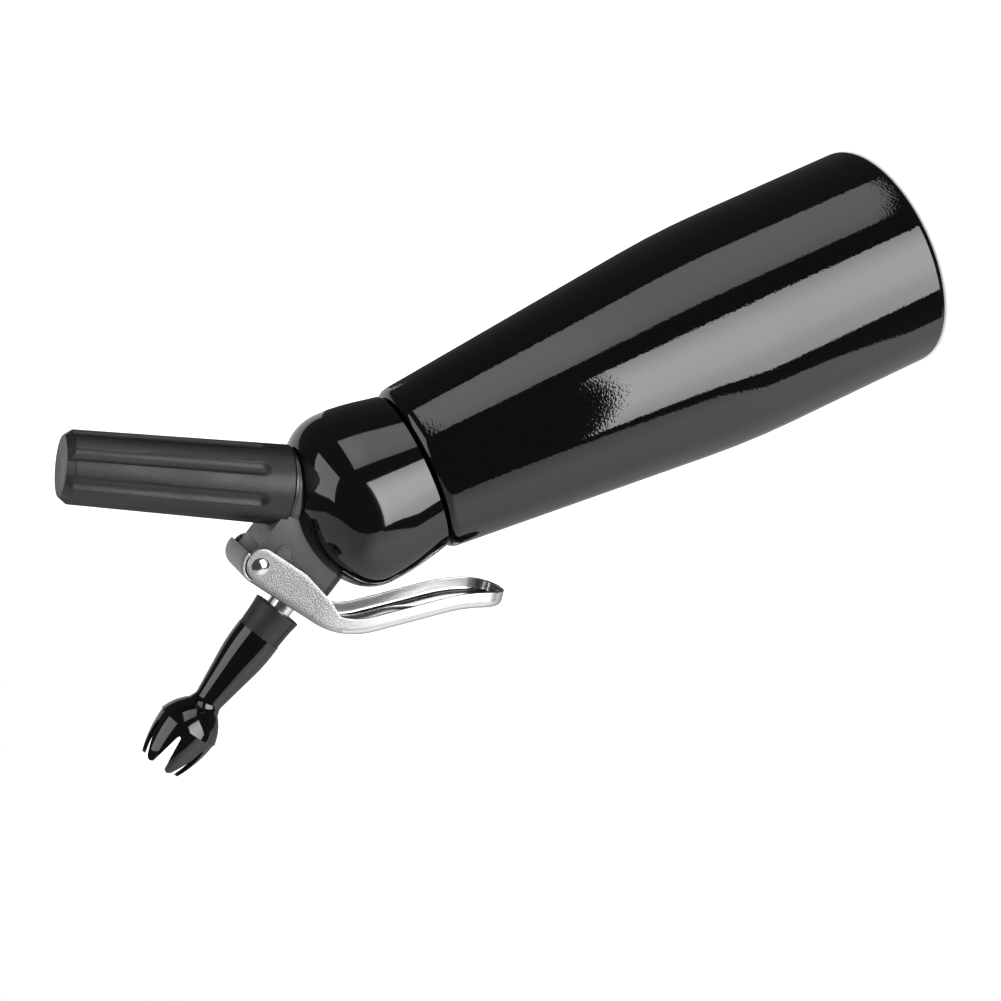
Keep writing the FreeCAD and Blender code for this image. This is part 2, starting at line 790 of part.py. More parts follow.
def make_lever():
    half = lever_width / 2
    body = slab(lever_outside(), half).common(handle_plan(half, lever_tip_round, 0))
    room_plan = handle_plan(half - sheet, lever_tip_round - sheet, sheet)
    room = slab(lever_inside(), half - sheet).common(room_plan)
    body = body.cut(room)
    body = body.fuse([curl(), rib(sheet / 2, rib_height, rib_width / 2, 0)])
    body = body.cut([
        rib(-1, rib_height - sheet, rib_width / 2 - sheet, sheet),
        cross_rod(pin_radius, 0, 0, lever_width),
    ])
    stem_hole = placed(rod(stem_radius + stem_hole_clearance, pin_z, nozzle_start), valve_frame)
    return placed(body, lever_frame).cut(stem_hole).removeSplitter()


def make_lever_pin():
    half = lever_width / 2
    rim = 0.25
    rise = pin_head_height - rim
    ball = (pin_head_radius**2 + rise**2) / (2 * rise)
    centre = half + pin_head_height - ball
    angle = math.degrees(math.atan2(half + rim - centre, pin_head_radius))
    outline = [
        (0, -half - pin_head_height),
        arc_to(0, -centre, ball, -90, -angle),
        (pin_head_radius, -half),
        (pin_radius, -half),
        (pin_radius, half),
        (pin_head_radius, half),
        (pin_head_radius, half + rim),
        arc_to(0, centre, ball, angle, 90),
    ]
    pin = lathe(outline)
    pin.rotate(origin, Vector(1, 0, 0), 90)
    return placed(pin, lever_frame)


# ---------------------------------------------------------------- nozzle
def nozzle_place(distance):
    return nozzle_start + distance


def make_nozzle():
    collar_end = nozzle_place(nozzle_collar_length)
    waist_place = nozzle_place(nozzle_collar_length * 0.45)
    body = rounded_path([
        (nozzle_body_radius, collar_end),
        (nozzle_body_radius, nozzle_place(nozzle_body_end)),
        (nozzle_neck_radius, nozzle_place(nozzle_neck_place)),
        (nozzle_neck_radius + 0.9, nozzle_place(nozzle_neck_place + 2.3)),
    ], [nozzle_body_round, nozzle_neck_round], 0.0)
    low = (tulip_low_radius, nozzle_place(tulip_low_place))
    tip = (tip_radius, nozzle_place(tip_place))
    outline = [
        (0, nozzle_start),
        (nozzle_rim_radius, nozzle_start),
        (nozzle_collar_end_radius, collar_end, nozzle_collar_waist, waist_place),
    ] + body[:-1] + [
        (tulip_radius, nozzle_place(tulip_place), tulip_shoulder_radius, nozzle_place(tulip_shoulder_place)),
        (tulip_radius - tulip_ridge, nozzle_place(tulip_place)),
        tip + low,
        (0, tip[1]),
    ]
    solid = lathe(outline)
    socket_end = stem_end + nozzle_socket_spare
    cup_start = nozzle_place(nozzle_neck_place + 3.0)
    hollow = lathe([
        (0, nozzle_start - 1),
        (stem_radius + thread_clearance, nozzle_start - 1),
        (stem_radius + thread_clearance, socket_end),
        (nozzle_channel_radius, socket_end + 1.5),
        (nozzle_channel_radius, cup_start),
        (tulip_radius - tulip_ridge - tip_wall, nozzle_place(tulip_place + 1),
         tulip_shoulder_radius - 1.6 * tip_wall, nozzle_place(tulip_shoulder_place + 0.6)),
        (tip_radius - tip_wall, tip[1] + 0.01, tulip_low_radius - tip_wall, low[1]),
        (0, tip[1] + 0.01),
    ])
    gaps = [prong_gap(i) for i in range(prong_count)]
    return placed(solid.cut([hollow, collar_slit()] + gaps), valve_frame)


def prong_gap(number):
    """Cutter for one gap: narrow and round where it starts, widening to leave round prong ends."""
    pitch = tip_radius * math.sin(math.pi / prong_count)
    start = nozzle_place(prong_gap_start)
    end = nozzle_place(tip_place)
    edge = pitch - tip_half_width
    round_start = end - 1.3
    face = Part.Face(wire([
        (prong_gap_round, start + prong_gap_round),
        (edge, round_start),
        (pitch, end + 0.05, pitch - 0.3 * tip_half_width, end - 0.42),
        (pitch, end + 3),
        (-pitch, end + 3),
        (-pitch, end + 0.05),
        (-edge, round_start, -pitch + 0.3 * tip_half_width, end - 0.42),
        (-prong_gap_round, start + prong_gap_round),
        (prong_gap_round, start + prong_gap_round, 0, start),
    ]))
    cutter = face.extrude(Vector(0, -2 * tulip_radius, 0))
    cutter.rotate(origin, up, prong_phase + number * 360 / prong_count)
    return cutter


def collar_slit():
    """Fine groove along one side of the collar."""
    length = nozzle_collar_length - 1.6
    slit = Part.makeBox(nozzle_slit_width, nozzle_rim_radius, length)
    floor = nozzle_collar_end_radius - nozzle_slit_depth
    slit.translate(Vector(-nozzle_slit_width / 2, -floor - nozzle_rim_radius, nozzle_start + 0.8))
    slit.rotate(origin, up, nozzle_slit_angle)
    return slit


# ---------------------------------------------------------------- the pieces
pieces = {
    "bottle": make_bottle,
    "head_shell": make_head_shell,
    "head_gasket": make_head_gasket,
    "charger_port": make_charger_port,
    "check_valve": make_check_valve,
    "piercing_pin": make_piercing_pin,
    "port_seal": make_port_seal,
    "charger": make_charger,
    "charger_cap": make_charger_cap,
    "charger_holder": make_charger_holder,
    "holder_insert": make_holder_insert,
    "valve_guide": make_valve_guide,
    "guide_ring": make_guide_ring,
    "valve_stem": make_valve_stem,
    "stem_ring": make_stem_ring,
    "poppet_seal": make_poppet_seal,
    "stem_collar": make_stem_collar,
    "valve_spring": make_valve_spring,
    "lever": make_lever,
    "lever_pin": make_lever_pin,
    "nozzle": make_nozzle,
}


os.makedirs("parts", exist_ok=True)
for name, make in pieces.items():
    make().exportStep("parts/" + name + ".step")
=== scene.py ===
"""Looks of a half-litre whipped cream dispenser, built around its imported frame.

Laid out as an add-on: sizes and colours are properties, each piece has an operator of its own, and main()
runs them all. Frame: +Z up the bottle, origin at the centre of its foot. The charger holder leans towards +X,
the valve with its lever and nozzle towards -X. The port frame and the valve frame stand on the two slanted
axes, with local Z outwards. Constants and outlines are in millimetres unless they say otherwise.
"""
import json
import math

import bmesh
import bpy
from bpy.props import FloatProperty, FloatVectorProperty, PointerProperty
from bpy.types import Operator, Panel, PropertyGroup
from mathutils import Matrix, Vector


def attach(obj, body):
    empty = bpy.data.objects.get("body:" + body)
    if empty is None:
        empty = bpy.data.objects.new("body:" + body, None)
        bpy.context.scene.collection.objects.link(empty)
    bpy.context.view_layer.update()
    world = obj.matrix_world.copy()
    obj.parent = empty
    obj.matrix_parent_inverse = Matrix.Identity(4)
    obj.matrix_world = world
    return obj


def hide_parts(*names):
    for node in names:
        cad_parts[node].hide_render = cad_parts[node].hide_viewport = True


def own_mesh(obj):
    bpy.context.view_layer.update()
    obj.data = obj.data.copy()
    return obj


bl_info = {
    "name": "Cream Dispenser Looks",
    "version": (1, 0, 0),
    "blender": (4, 5, 0),
    "location": "3D View > Sidebar > Dispenser",
    "description": "Builds the visible pieces and finishes of a whipped cream dispenser around its frame",
    "category": "Add Mesh",
}

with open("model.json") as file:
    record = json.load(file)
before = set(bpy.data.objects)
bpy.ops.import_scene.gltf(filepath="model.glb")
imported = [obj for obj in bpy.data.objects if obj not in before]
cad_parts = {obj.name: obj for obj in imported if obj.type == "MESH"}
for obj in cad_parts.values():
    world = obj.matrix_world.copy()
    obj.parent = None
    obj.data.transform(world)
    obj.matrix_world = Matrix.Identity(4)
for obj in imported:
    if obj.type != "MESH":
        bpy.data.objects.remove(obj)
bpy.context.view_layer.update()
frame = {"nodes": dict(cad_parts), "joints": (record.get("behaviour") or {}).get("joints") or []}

MM = 0.001
FULL = 2 * math.pi
ARC_STEP = math.radians(4)      # turn of one step along a rounding
MERGE = 1e-6                    # metres; doubles nearer than this are one vertex
CREASE = math.radians(32)       # edges sharper than this stay sharp in the shading

JOINTS = {joint["name"]: joint for joint in frame["joints"]}


# ---------------------------------------------------------------- sizes and colours
def length(name, description, millimetres):
    return FloatProperty(name=name, description=description, default=millimetres * MM, unit="LENGTH",
                         precision=4)


def in_millimetres(sizes):
    """Values of a group of lengths, in the order in which it lists them."""
    return [getattr(sizes, name) / MM for name in type(sizes).__annotations__]


def linear(code):
    """sRGB hex code to a linear colour."""
    parts = [int(code[i:i + 2], 16) / 255 for i in (1, 3, 5)]
    return [part / 12.92 if part <= 0.04045 else ((part + 0.055) / 1.055) ** 2.4 for part in parts]


def colour(name, description, code):
    return FloatVectorProperty(name=name, description=description, default=linear(code), size=3,
                               subtype="COLOR", min=0, max=1)


class DispenserBottle(PropertyGroup):
    radius: length("Radius", "Radius of the straight part", 40)
    wall: length("Wall", "Thickness of the drawn wall", 1.8)
    shoulder: length("Shoulder height", "Height of the flat shoulder", 188)
    neck: length("Neck radius", "Radius of the neck over its thread", 21.5)
    mouth: length("Mouth height", "Height of the neck's rim", 200.7)


class DispenserHead(PropertyGroup):
    skirt: length("Skirt radius", "Radius of the skirt's lower rim", 27.4)
    belly: length("Belly radius", "Widest radius of the head", 30.3)
    boss: length("Boss radius", "Radius of the boss under the charger holder", 12.7)
    tower: length("Tower half width", "Half the width of the valve tower", 9.2)


class DispenserHolder(PropertyGroup):
    root: length("Root radius", "Radius of the charger holder next to the head", 13.2)
    end: length("End radius", "Radius of the charger holder at its end", 11.7)
    long: length("Length", "Length of the charger holder", 72.3)
    flute: length("Flute depth", "Depth of the grooves along the charger holder", 1.1)


class DispenserLever(PropertyGroup):
    half: length("Half width", "Half the width of the lever, outside", 11)
    sheet: length("Sheet", "Thickness of the stamped sheet", 1)
    rim: length("Rim height", "Height of the handle's walls", 5.7)
    rib: length("Rib height", "Height of the pressed rib over the sheet", 2.8)


class DispenserNozzle(PropertyGroup):
    collar: length("Collar radius", "Radius of the collar's rim", 8.4)
    neck: length("Neck radius", "Narrowest radius of the nozzle", 4.85)
    tulip: length("Tulip radius", "Widest radius of the tulip", 10.75)
    tip: length("Tip radius", "Radius of the ring on which the prongs end", 7.1)


class DispenserColours(PropertyGroup):
    enamel: colour("Enamel", "Bottle", "#040405")
    head: colour("Head", "Head and nozzle plastic", "#050505")
    holder: colour("Holder", "Charger holder plastic", "#151516")
    steel: colour("Steel", "Stamped stainless steel", "#cbcbca")
    floor: colour("Floor", "Floor", "#fafafa")


# ---------------------------------------------------------------- frames of the slanted parts
CROSSING = 204.5        # height where both slanted axes cross the bottle's
LEVER_TILT = math.radians(2.7)


def slanted(joint):
    """Frame on the crossing with local Z along a joint's slanted axis and local Y as the object's."""
    axis = Vector(JOINTS[joint]["axis"])
    return Matrix.Translation((0, 0, CROSSING * MM)) @ Matrix.Rotation(math.atan2(axis.x, axis.z), 4, "Y")


def moved(place, x, y, z):
    """A place moved along its own axes by millimetres."""
    return place @ Matrix.Translation((x * MM, y * MM, z * MM))


PORT = slanted("charger_out")
VALVE = slanted("nozzle_off")
LEVER = (Matrix.Translation(Vector(JOINTS["lever_hinge"]["pos_m"])) @ VALVE.to_3x3().to_4x4()
         @ Matrix.Rotation(-LEVER_TILT, 4, "Y"))


# ---------------------------------------------------------------- mesh helpers
def rounded(corners):
    """Outline points through (x, z) or (x, z, rounding) corners in millimetres, each rounding a true arc."""
    points = []
    for i, (x, z, *rounding) in enumerate(corners):
        here = Vector((x, z)) * MM
        if not rounding:
            points.append(here)
            continue
        radius = rounding[0] * MM
        before = (Vector(corners[i - 1][:2]) * MM - here).normalized()
        after = (Vector(corners[(i + 1) % len(corners)][:2]) * MM - here).normalized()
        turn = math.pi - before.angle(after)
        centre = here + (before + after).normalized() * radius / math.cos(turn / 2)
        start = here + before * radius * math.tan(turn / 2) - centre
        steps = max(3, math.ceil(turn / ARC_STEP))
        side = math.copysign(turn / steps, -before.cross(after))
        for k in range(steps + 1):
            points.append(centre + Matrix.Rotation(side * k, 2) @ start)
    return points


def arc(x, z, radius, first, last, steps=24):
    """Outline points along an arc about (x, z) in millimetres, between two angles in degrees."""
    angles = [math.radians(first + (last - first) * k / steps) for k in range(steps + 1)]
    return [Vector((x + radius * math.cos(a), z + radius * math.sin(a))) * MM for a in angles]


def thread(root, crest, first, pitch, turns, land, flank=0.6):
    """Corners of a thread, drawn as separate ridges with a flat crest between two flanks."""
    corners = []
    for turn in range(turns):
        level = first + turn * pitch
        corners += [(root, level), (crest, level + flank), (crest, level + flank + land),
                    (root, level + 2 * flank + land)]
    return corners


def divided(points, longer, parts):
    """Outline points with every run longer than a length cut into parts, for a pattern to be pressed in."""
    result = []
    for point, following in zip(points, points[1:] + points[:1]):
        count = parts if (following - point).length > longer else 1
        result += [point.lerp(following, k / count) for k in range(count)]
    return result


def grid_place(vert, columns, rows):
    """Column and row of a vertex of a new grid of size 1."""
    return round((vert.co.x + 1) / 2 * (columns - 1)), round((vert.co.y + 1) / 2 * (rows - 1))


def carry(part, bm, place, finish=0):
    """Adds a finished part to a mesh, moved to its place, with the number of its finish."""
    for face in part.faces:
        face.material_index = finish
    bmesh.ops.transform(part, matrix=place, verts=part.verts)
    mesh = bpy.data.meshes.new("part")
    part.to_mesh(mesh)
    part.free()
    bm.from_mesh(mesh)
    bpy.data.meshes.remove(mesh)


def turned(bm, place, points, steps=128, shape=None, finish=0):
    """Solid or ring turned round the place's Z axis from a closed outline of (radius, height) points.

    shape is a function that moves each point of it before it is put in its place.
    """
    part = bmesh.new()
    verts = [part.verts.new((point.x, 0, point.y)) for point in points]
    edges = [part.edges.new(pair) for pair in zip(verts, verts[1:])]
    if points[0].x > MERGE or points[-1].x > MERGE:
        edges.append(part.edges.new((verts[-1], verts[0])))
    bmesh.ops.spin(part, geom=verts + edges, cent=(0, 0, 0), axis=(0, 0, 1), dvec=(0, 0, 0), angle=FULL,
                   steps=steps, use_merge=True, use_normal_flip=False, use_duplicate=False)
    bmesh.ops.remove_doubles(part, verts=part.verts, dist=MERGE)
    if shape:
        for vert in part.verts:
            shape(vert.co)
    carry(part, bm, place, finish)


def prism(bm, place, points, half, edge_round=0.3, finish=0):
    """Slab with an outline in the place's XZ plane, spread to both sides, its face edges rounded over."""
    part = bmesh.new()
    face = part.faces.new([part.verts.new((point.x, -half * MM, point.y)) for point in points])
    grown = bmesh.ops.extrude_face_region(part, geom=[face], use_keep_orig=True)["geom"]
    grown = [item for item in grown if isinstance(item, bmesh.types.BMVert)]
    bmesh.ops.translate(part, vec=(0, 2 * half * MM, 0), verts=grown)
    rims = [edge for edge in part.edges if abs(edge.verts[0].co.y - edge.verts[1].co.y) < MERGE]
    bmesh.ops.bevel(part, geom=rims, offset=edge_round * MM, offset_type="OFFSET", segments=3, profile=0.5,
                    affect="EDGES", clamp_overlap=False, material=-1)
    carry(part, bm, place, finish)


def add_piece(bm, name, body, finishes, stands_for, crease=CREASE):
    """Object from a finished mesh, with its finishes, riding on its body in place of a frame node."""
    bmesh.ops.recalc_face_normals(bm, faces=bm.faces)
    mesh = bpy.data.meshes.new(name)
    bm.to_mesh(mesh)
    bm.free()
    mesh.shade_smooth()
    mesh.set_sharp_from_angle(angle=crease)
    for finish in finishes:
        mesh.materials.append(finish)
    piece = bpy.data.objects.new(name, mesh)
    bpy.context.collection.objects.link(piece)
    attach(piece, body)
    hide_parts(stands_for)
    return piece


# ---------------------------------------------------------------- materials
NOISE_RANGE = {"From Min": 0.3, "From Max": 0.7}        # between these lies nearly all of a noise pattern


def add_node(tree, kind, settings, links):
    """Adds one node. Settings are attributes or input values, links are input: output socket or node.

    An input is given by its name or number, and a node stands for its first output.
    """
    node = tree.nodes.new(kind)
    for key, value in settings.items():
        if isinstance(key, int) or key in node.inputs:
            node.inputs[key].default_value = value
        else:
            setattr(node, key, value)
    for key, source in links.items():
        tree.links.new(source.outputs[0] if hasattr(source, "outputs") else source, node.inputs[key])
    return node


def new_finish(name, base, settings):
    """Material with its shader set, returned with its tree, its shader and its object coordinates."""
    material = bpy.data.materials.new(name)
    material.use_nodes = True
    tree = material.node_tree
    tree.nodes.clear()
    shader = add_node(tree, "ShaderNodeBsdfPrincipled", {"Base Color": (*base, 1), **settings}, {})
    add_node(tree, "ShaderNodeOutputMaterial", {}, {"Surface": shader})
    place = add_node(tree, "ShaderNodeTexCoord", {}, {}).outputs["Object"]
    return material, tree, shader, place


def grained(name, base, settings, spacing, detail, height, roughness=None):
    """Finish with one even grain of a spacing and height in millimetres, which may vary its roughness too."""
    material, tree, shader, place = new_finish(name, base, settings)
    grain = add_node(tree, "ShaderNodeTexNoise", {"Scale": 1 / (spacing * MM), "Detail": detail},
                     {"Vector": place})
    if height:
        bump = add_node(tree, "ShaderNodeBump", {"Distance": height * MM}, {"Height": grain})
        tree.links.new(bump.outputs["Normal"], shader.inputs["Normal"])
    if roughness:
        patches = add_node(tree, "ShaderNodeMapRange",
                           {**NOISE_RANGE, "To Min": roughness[0], "To Max": roughness[1]}, {"Value": grain})
        tree.links.new(patches.outputs["Result"], shader.inputs["Roughness"])
    return material


def sprayed_enamel(colours):
    """Sprayed and baked gloss enamel: deep black, mirror-like, with a fine orange peel in its reflections."""
    return grained("sprayed_black_enamel", colours.enamel, {"Roughness": 0.035, "IOR": 1.5},
                   spacing=0.85, detail=1, height=0.013)


def gloss_moulding(colours, name="moulded_gloss_abs"):
    """ABS or polypropylene from a polished mould: black, a little softer than enamel, slight sink waves."""
    return grained(name, colours.head, {"Roughness": 0.06, "IOR": 1.52}, spacing=9, detail=1, height=0.01)


def satin_painted_sheen_moulding():
    """The same ABS where the mould was only ground: satin, with painted sheen: its base is grey where the
    plastic is black, so its flat sides take a grey bloom of light.
    """
    # painted sheen: a grey base on plastic that is as black as the gloss head
    return grained("ground_abs_painted_grey_sheen", linear("#404040"), {"IOR": 1.52},
                   spacing=1.6, detail=3, height=0.03, roughness=(0.34, 0.46))


def matte_moulding(colours, name="spark_textured_nylon", roughness=0.42):
    """Nylon or polypropylene from a spark-eroded mould: matte, finely pebbled, shinier where it is rubbed.

    The pebbles are drawn coarser than the mould leaves them, so that they show.
    """
    material, tree, shader, place = new_finish(name, colours.holder, {"IOR": 1.5})
    pebbles = add_node(tree, "ShaderNodeTexNoise",
                       {"Scale": 1 / (0.55 * MM), "Detail": 3, "Roughness": 0.6}, {"Vector": place})
    bump = add_node(tree, "ShaderNodeBump", {"Distance": 0.075 * MM}, {"Height": pebbles})
    wear = add_node(tree, "ShaderNodeTexNoise", {"Scale": 1 / (14 * MM), "Detail": 3}, {"Vector": place})
    rubbed = add_node(tree, "ShaderNodeMapRange",
                      {**NOISE_RANGE, "To Min": roughness - 0.07, "To Max": roughness + 0.07},
                      {"Value": wear})
    tree.links.new(bump.outputs["Normal"], shader.inputs["Normal"])
    tree.links.new(rubbed.outputs["Result"], shader.inputs["Roughness"])
    return material


def tumbled_painted_shade_steel(colours):
    """Stainless steel sheet, stamped and tumbled: satin, dented by the media, with painted shade: a darker
    grey on the side plates, brighter towards the handle.

    The dents are deepest on the flat side plates and fade out where the sheet was drawn over the die; the
    painted shade fades out over the same stretch.
    """
    material, tree, shader, place = new_finish("stamped_steel_painted_plate_shade", colours.steel, {"Metallic": 1})
    axis = LEVER.to_3x3() @ Vector((-1, 0, 0))
    pin = axis.dot(LEVER.translation)
    along = add_node(tree, "ShaderNodeVectorMath", {"operation": "DOT_PRODUCT", 1: axis}, {0: place})
    drawn = add_node(tree, "ShaderNodeMapRange", {"From Min": pin + 24 * MM, "From Max": pin + 46 * MM},
                     {"Value": along.outputs["Value"]})
    # painted shade: the plates near the pin take a darker grey than the steel, fading to the steel's own
    # colour towards the handle
    painted_plate_shade = add_node(tree, "ShaderNodeMix",
                    {"data_type": "RGBA", 6: (*linear("#8e8e8d"), 1), 7: (*colours.steel, 1)},
                    {"Factor": drawn})
    dents = add_node(tree, "ShaderNodeTexNoise",
                     {"Scale": 1 / (0.55 * MM), "Detail": 3, "Roughness": 0.6}, {"Vector": place})
    rubbed = add_node(tree, "ShaderNodeMapRange", {**NOISE_RANGE, "To Min": 0.28, "To Max": 0.48},
                      {"Value": dents})
    depth = add_node(tree, "ShaderNodeMapRange", {"To Min": 1, "To Max": 0.3}, {"Value": drawn})
    bump = add_node(tree, "ShaderNodeBump", {"Distance": 0.13 * MM}, {"Height": dents, "Strength": depth})
    tree.links.new(painted_plate_shade.outputs[2], shader.inputs["Base Color"])
    tree.links.new(rubbed.outputs["Result"], shader.inputs["Roughness"])
    tree.links.new(bump.outputs["Normal"], shader.inputs["Normal"])
    return material


def polished_steel(colours, name="polished_stainless_steel", roughness=0.16):
    """Buffed stainless steel: bright mirror with faint waves left by the press and the buffing wheel."""
    return grained(name, colours.steel, {"Metallic": 1}, spacing=3.5, detail=2, height=0.012,
                   roughness=(roughness * 0.8, roughness * 1.4))


def turned_steel(colours):
    """Turned stainless steel: bright, its tool marks drawn as a fine even grain."""
    return grained("turned_stainless_steel", colours.steel, {"Metallic": 1, "Roughness": 0.2},
                   spacing=0.3, detail=1, height=0.006)


def nickel_painted_shade():
    """Nickel plate on brass: grey silver with a soft gleam, its grey painted far darker than nickel as shade
    that dims the ring.
    """
    return grained("painted_dark_nickel", linear("#4e4e4c"), {"Metallic": 1, "Roughness": 0.34},
                   spacing=1.5, detail=1, height=0.004)


def zinc_plate():
    """Zinc-plated drawn steel: cool grey, half bright, cloudy, with no relief of its own."""
    return grained("zinc_plated_steel", linear("#b4b8ba"), {"Metallic": 1},
                   spacing=4, detail=3, height=0, roughness=(0.22, 0.4))


def turned_aluminium():
    """Turned aluminium: pale grey, its soft tool marks drawn as a fine even grain."""
    return grained("turned_aluminium", linear("#c6c8ca"), {"Metallic": 1, "Roughness": 0.28},
                   spacing=0.4, detail=1, height=0.008)


def seal_rubber():
    """Moulded nitrile rubber: soft black with a dusty bloom."""
    return grained("nitrile_rubber", linear("#232323"), {"Roughness": 0.7, "IOR": 1.52},
                   spacing=0.8, detail=2, height=0.02)


def gasket_silicone():
    """Moulded silicone: opaque red, soft sheen."""
    return grained("red_silicone", linear("#a8281c"), {"Roughness": 0.45, "IOR": 1.41},
                   spacing=1.2, detail=2, height=0.02)


# ---------------------------------------------------------------- bottle
TAPER = math.radians(5.8)
TAPER_BEND = 330        # radius of the bend from the straight side to the tapered side
STRAIGHT = 57           # the side is straight up to here
FOOT_ROUND = 2.4
SHOULDER_ROUND = 4
BOTTLE_FLOOR = 3
FLOOR_ROUND = 5         # inside, between the floor and the side
NECK_BORE = 18.8
MOUTH_ROUND = 0.5
NECK_THREAD_DEPTH = 0.9


def side_corners(radius, shoulder, inset):
    """Corners up the side: the bend and the shoulder, moved in by an inset, all in millimetres."""
    bend = STRAIGHT + TAPER_BEND * math.tan(TAPER / 2)
    edge = radius - (shoulder - bend) * math.tan(TAPER)
    return (radius - inset, bend, TAPER_BEND - inset), (edge - inset, shoulder - inset, SHOULDER_ROUND)


class DISPENSER_OT_bottle(Operator):
    """Bottle of drawn aluminium with a threaded neck"""
    bl_idname = "dispenser.bottle"
    bl_label = "Bottle"

    def execute(self, context):
        radius, wall, shoulder, neck, mouth = in_millimetres(context.scene.dispenser_bottle)
        root = neck - NECK_THREAD_DEPTH
        inner_bend, inner_shoulder = side_corners(radius, shoulder, wall)
        corners = [
            (0, 0), (radius, 0, FOOT_ROUND), *side_corners(radius, shoulder, 0), (root, shoulder),
            *thread(root, neck, first=shoulder + 1.2, pitch=2.5, turns=4, land=0.4),
            (root, mouth, MOUTH_ROUND), (NECK_BORE, mouth, MOUTH_ROUND), (NECK_BORE, shoulder - wall),
            inner_shoulder, inner_bend, (radius - wall, BOTTLE_FLOOR, FLOOR_ROUND), (0, BOTTLE_FLOOR),
        ]
        bm = bmesh.new()
        turned(bm, Matrix(), rounded(corners), steps=192)
        enamel = sprayed_enamel(context.scene.dispenser_colours)
        add_piece(bm, "bottle_shell", "bottle", [enamel], "bottle")
        return {"FINISHED"}


# ---------------------------------------------------------------- head
SKIRT_LEAN = math.radians(11)
SKIRT_BOTTOM = 188.7
BELLY_LEVEL = 210.1
CROWN_ROUND = 16.4
CROWN_TURN = math.radians(45)
THREAD_GAP = 0.05
GASKET_SEAT = 203.25
CHAMBER_RADIUS = 17     # hollow over the gasket
CHAMBER_SIDE = 7
CHAMBER_TOP_RADIUS = 9
CHAMBER_TOP = 11
BOSS_END = 27.6
TOWER_START = 17        # along the slanted axis, well inside the head
TOWER_TOP = 35.6
TOWER_REACH = 21.8      # towards the charger holder
TOWER_BACK = 10.5       # radius of the side towards the nozzle
PIN_PLACE = (18.1, 39.95)       # the lever's pin in the valve frame
LUG_RADIUS = 4.4
LUG_ROOT = 34.6         # just inside the tower
LUG_FOOT = 12.8         # where the root line ends inside the tower
MARK_PLACE = (13.2, 32.3)       # low ring on each flat side of the tower
MARK_RING = [(0, 0), (3.2, 0), (3.2, 0.4, 0.2), (2.5, 0.4, 0.2), (2.4, 0.15), (0, 0.15)]


def head_corners(skirt, belly, socket):
    """Outline of the turned head with its threaded socket and chamber."""
    slope = math.tan(SKIRT_LEAN)
    skirt_corner = SKIRT_BOTTOM + (belly - skirt) / slope
    lower_round = (BELLY_LEVEL - skirt_corner) / math.tan(SKIRT_LEAN / 2)
    crown_reach = CROWN_ROUND * math.tan(CROWN_TURN / 2)
    side = belly - CROWN_ROUND * (1 - math.cos(CROWN_TURN))
    crown = side / math.cos(CROWN_TURN)
    rise = crown * math.tan(CROWN_TURN / 2)
    flat = side - rise * math.sin(CROWN_TURN)
    top = BELLY_LEVEL + CROWN_ROUND * math.sin(CROWN_TURN) + rise * math.cos(CROWN_TURN)
    return [
        (socket, SKIRT_BOTTOM), (skirt, SKIRT_BOTTOM, 0.4), (belly, skirt_corner, lower_round),
        (belly, BELLY_LEVEL + crown_reach, CROWN_ROUND), (flat, top, crown), (0, top),
        (0, GASKET_SEAT + CHAMBER_TOP), (CHAMBER_TOP_RADIUS, GASKET_SEAT + CHAMBER_TOP),
        (CHAMBER_RADIUS, GASKET_SEAT + CHAMBER_SIDE), (CHAMBER_RADIUS, GASKET_SEAT), (socket, GASKET_SEAT),
    ]


class DISPENSER_OT_head(Operator):
    """Moulded head: round body, boss for the charger side, valve tower and the lever's lug"""
    bl_idname = "dispenser.head"
    bl_label = "Head"

    def execute(self, context):
        skirt, belly, boss, half = in_millimetres(context.scene.dispenser_head)
        socket = context.scene.dispenser_bottle.neck / MM + THREAD_GAP
        bm = bmesh.new()
        turned(bm, Matrix(), rounded(head_corners(skirt, belly, socket)), steps=160)
        outline = [(0, TOWER_START), (boss, TOWER_START), (boss, BOSS_END, 0.4), (0, BOSS_END)]
        turned(bm, PORT, rounded(outline), finish=1)
        self.add_tower(bm, half)
        lug = rounded([(LUG_FOOT, LUG_ROOT), (TOWER_REACH, LUG_ROOT)])
        lug += arc(*PIN_PLACE, LUG_RADIUS, 0, 180) + rounded([(PIN_PLACE[0] - LUG_RADIUS, LUG_ROOT)])
        prism(bm, VALVE, lug, half, finish=1)
        for side in (-1, 1):
            place = moved(VALVE, MARK_PLACE[0], side * half, MARK_PLACE[1])
            outwards = Matrix.Rotation(-side * math.pi / 2, 4, "X")
            turned(bm, place @ outwards, rounded(MARK_RING), steps=48, finish=1)
        # the satin finish has a painted grey sheen; it covers the boss, the tower, the lug and the rings
        finishes = [gloss_moulding(context.scene.dispenser_colours), satin_painted_sheen_moulding()]
        add_piece(bm, "head_moulding", "head", finishes, "head_shell")
        return {"FINISHED"}

    def add_tower(self, bm, half):
        """Tower with flat sides, round towards the nozzle's side and square towards the charger holder."""
        round_end = math.degrees(math.asin(half / TOWER_BACK))
        plan = rounded([(TOWER_REACH, -half), (TOWER_REACH, half)])
        plan += arc(0, 0, TOWER_BACK, 180 - round_end, 180 + round_end)
        place = moved(VALVE, 0, 0, (TOWER_START + TOWER_TOP) / 2) @ Matrix.Rotation(math.pi / 2, 4, "X")
        prism(bm, place, plan, (TOWER_TOP - TOWER_START) / 2, finish=1)


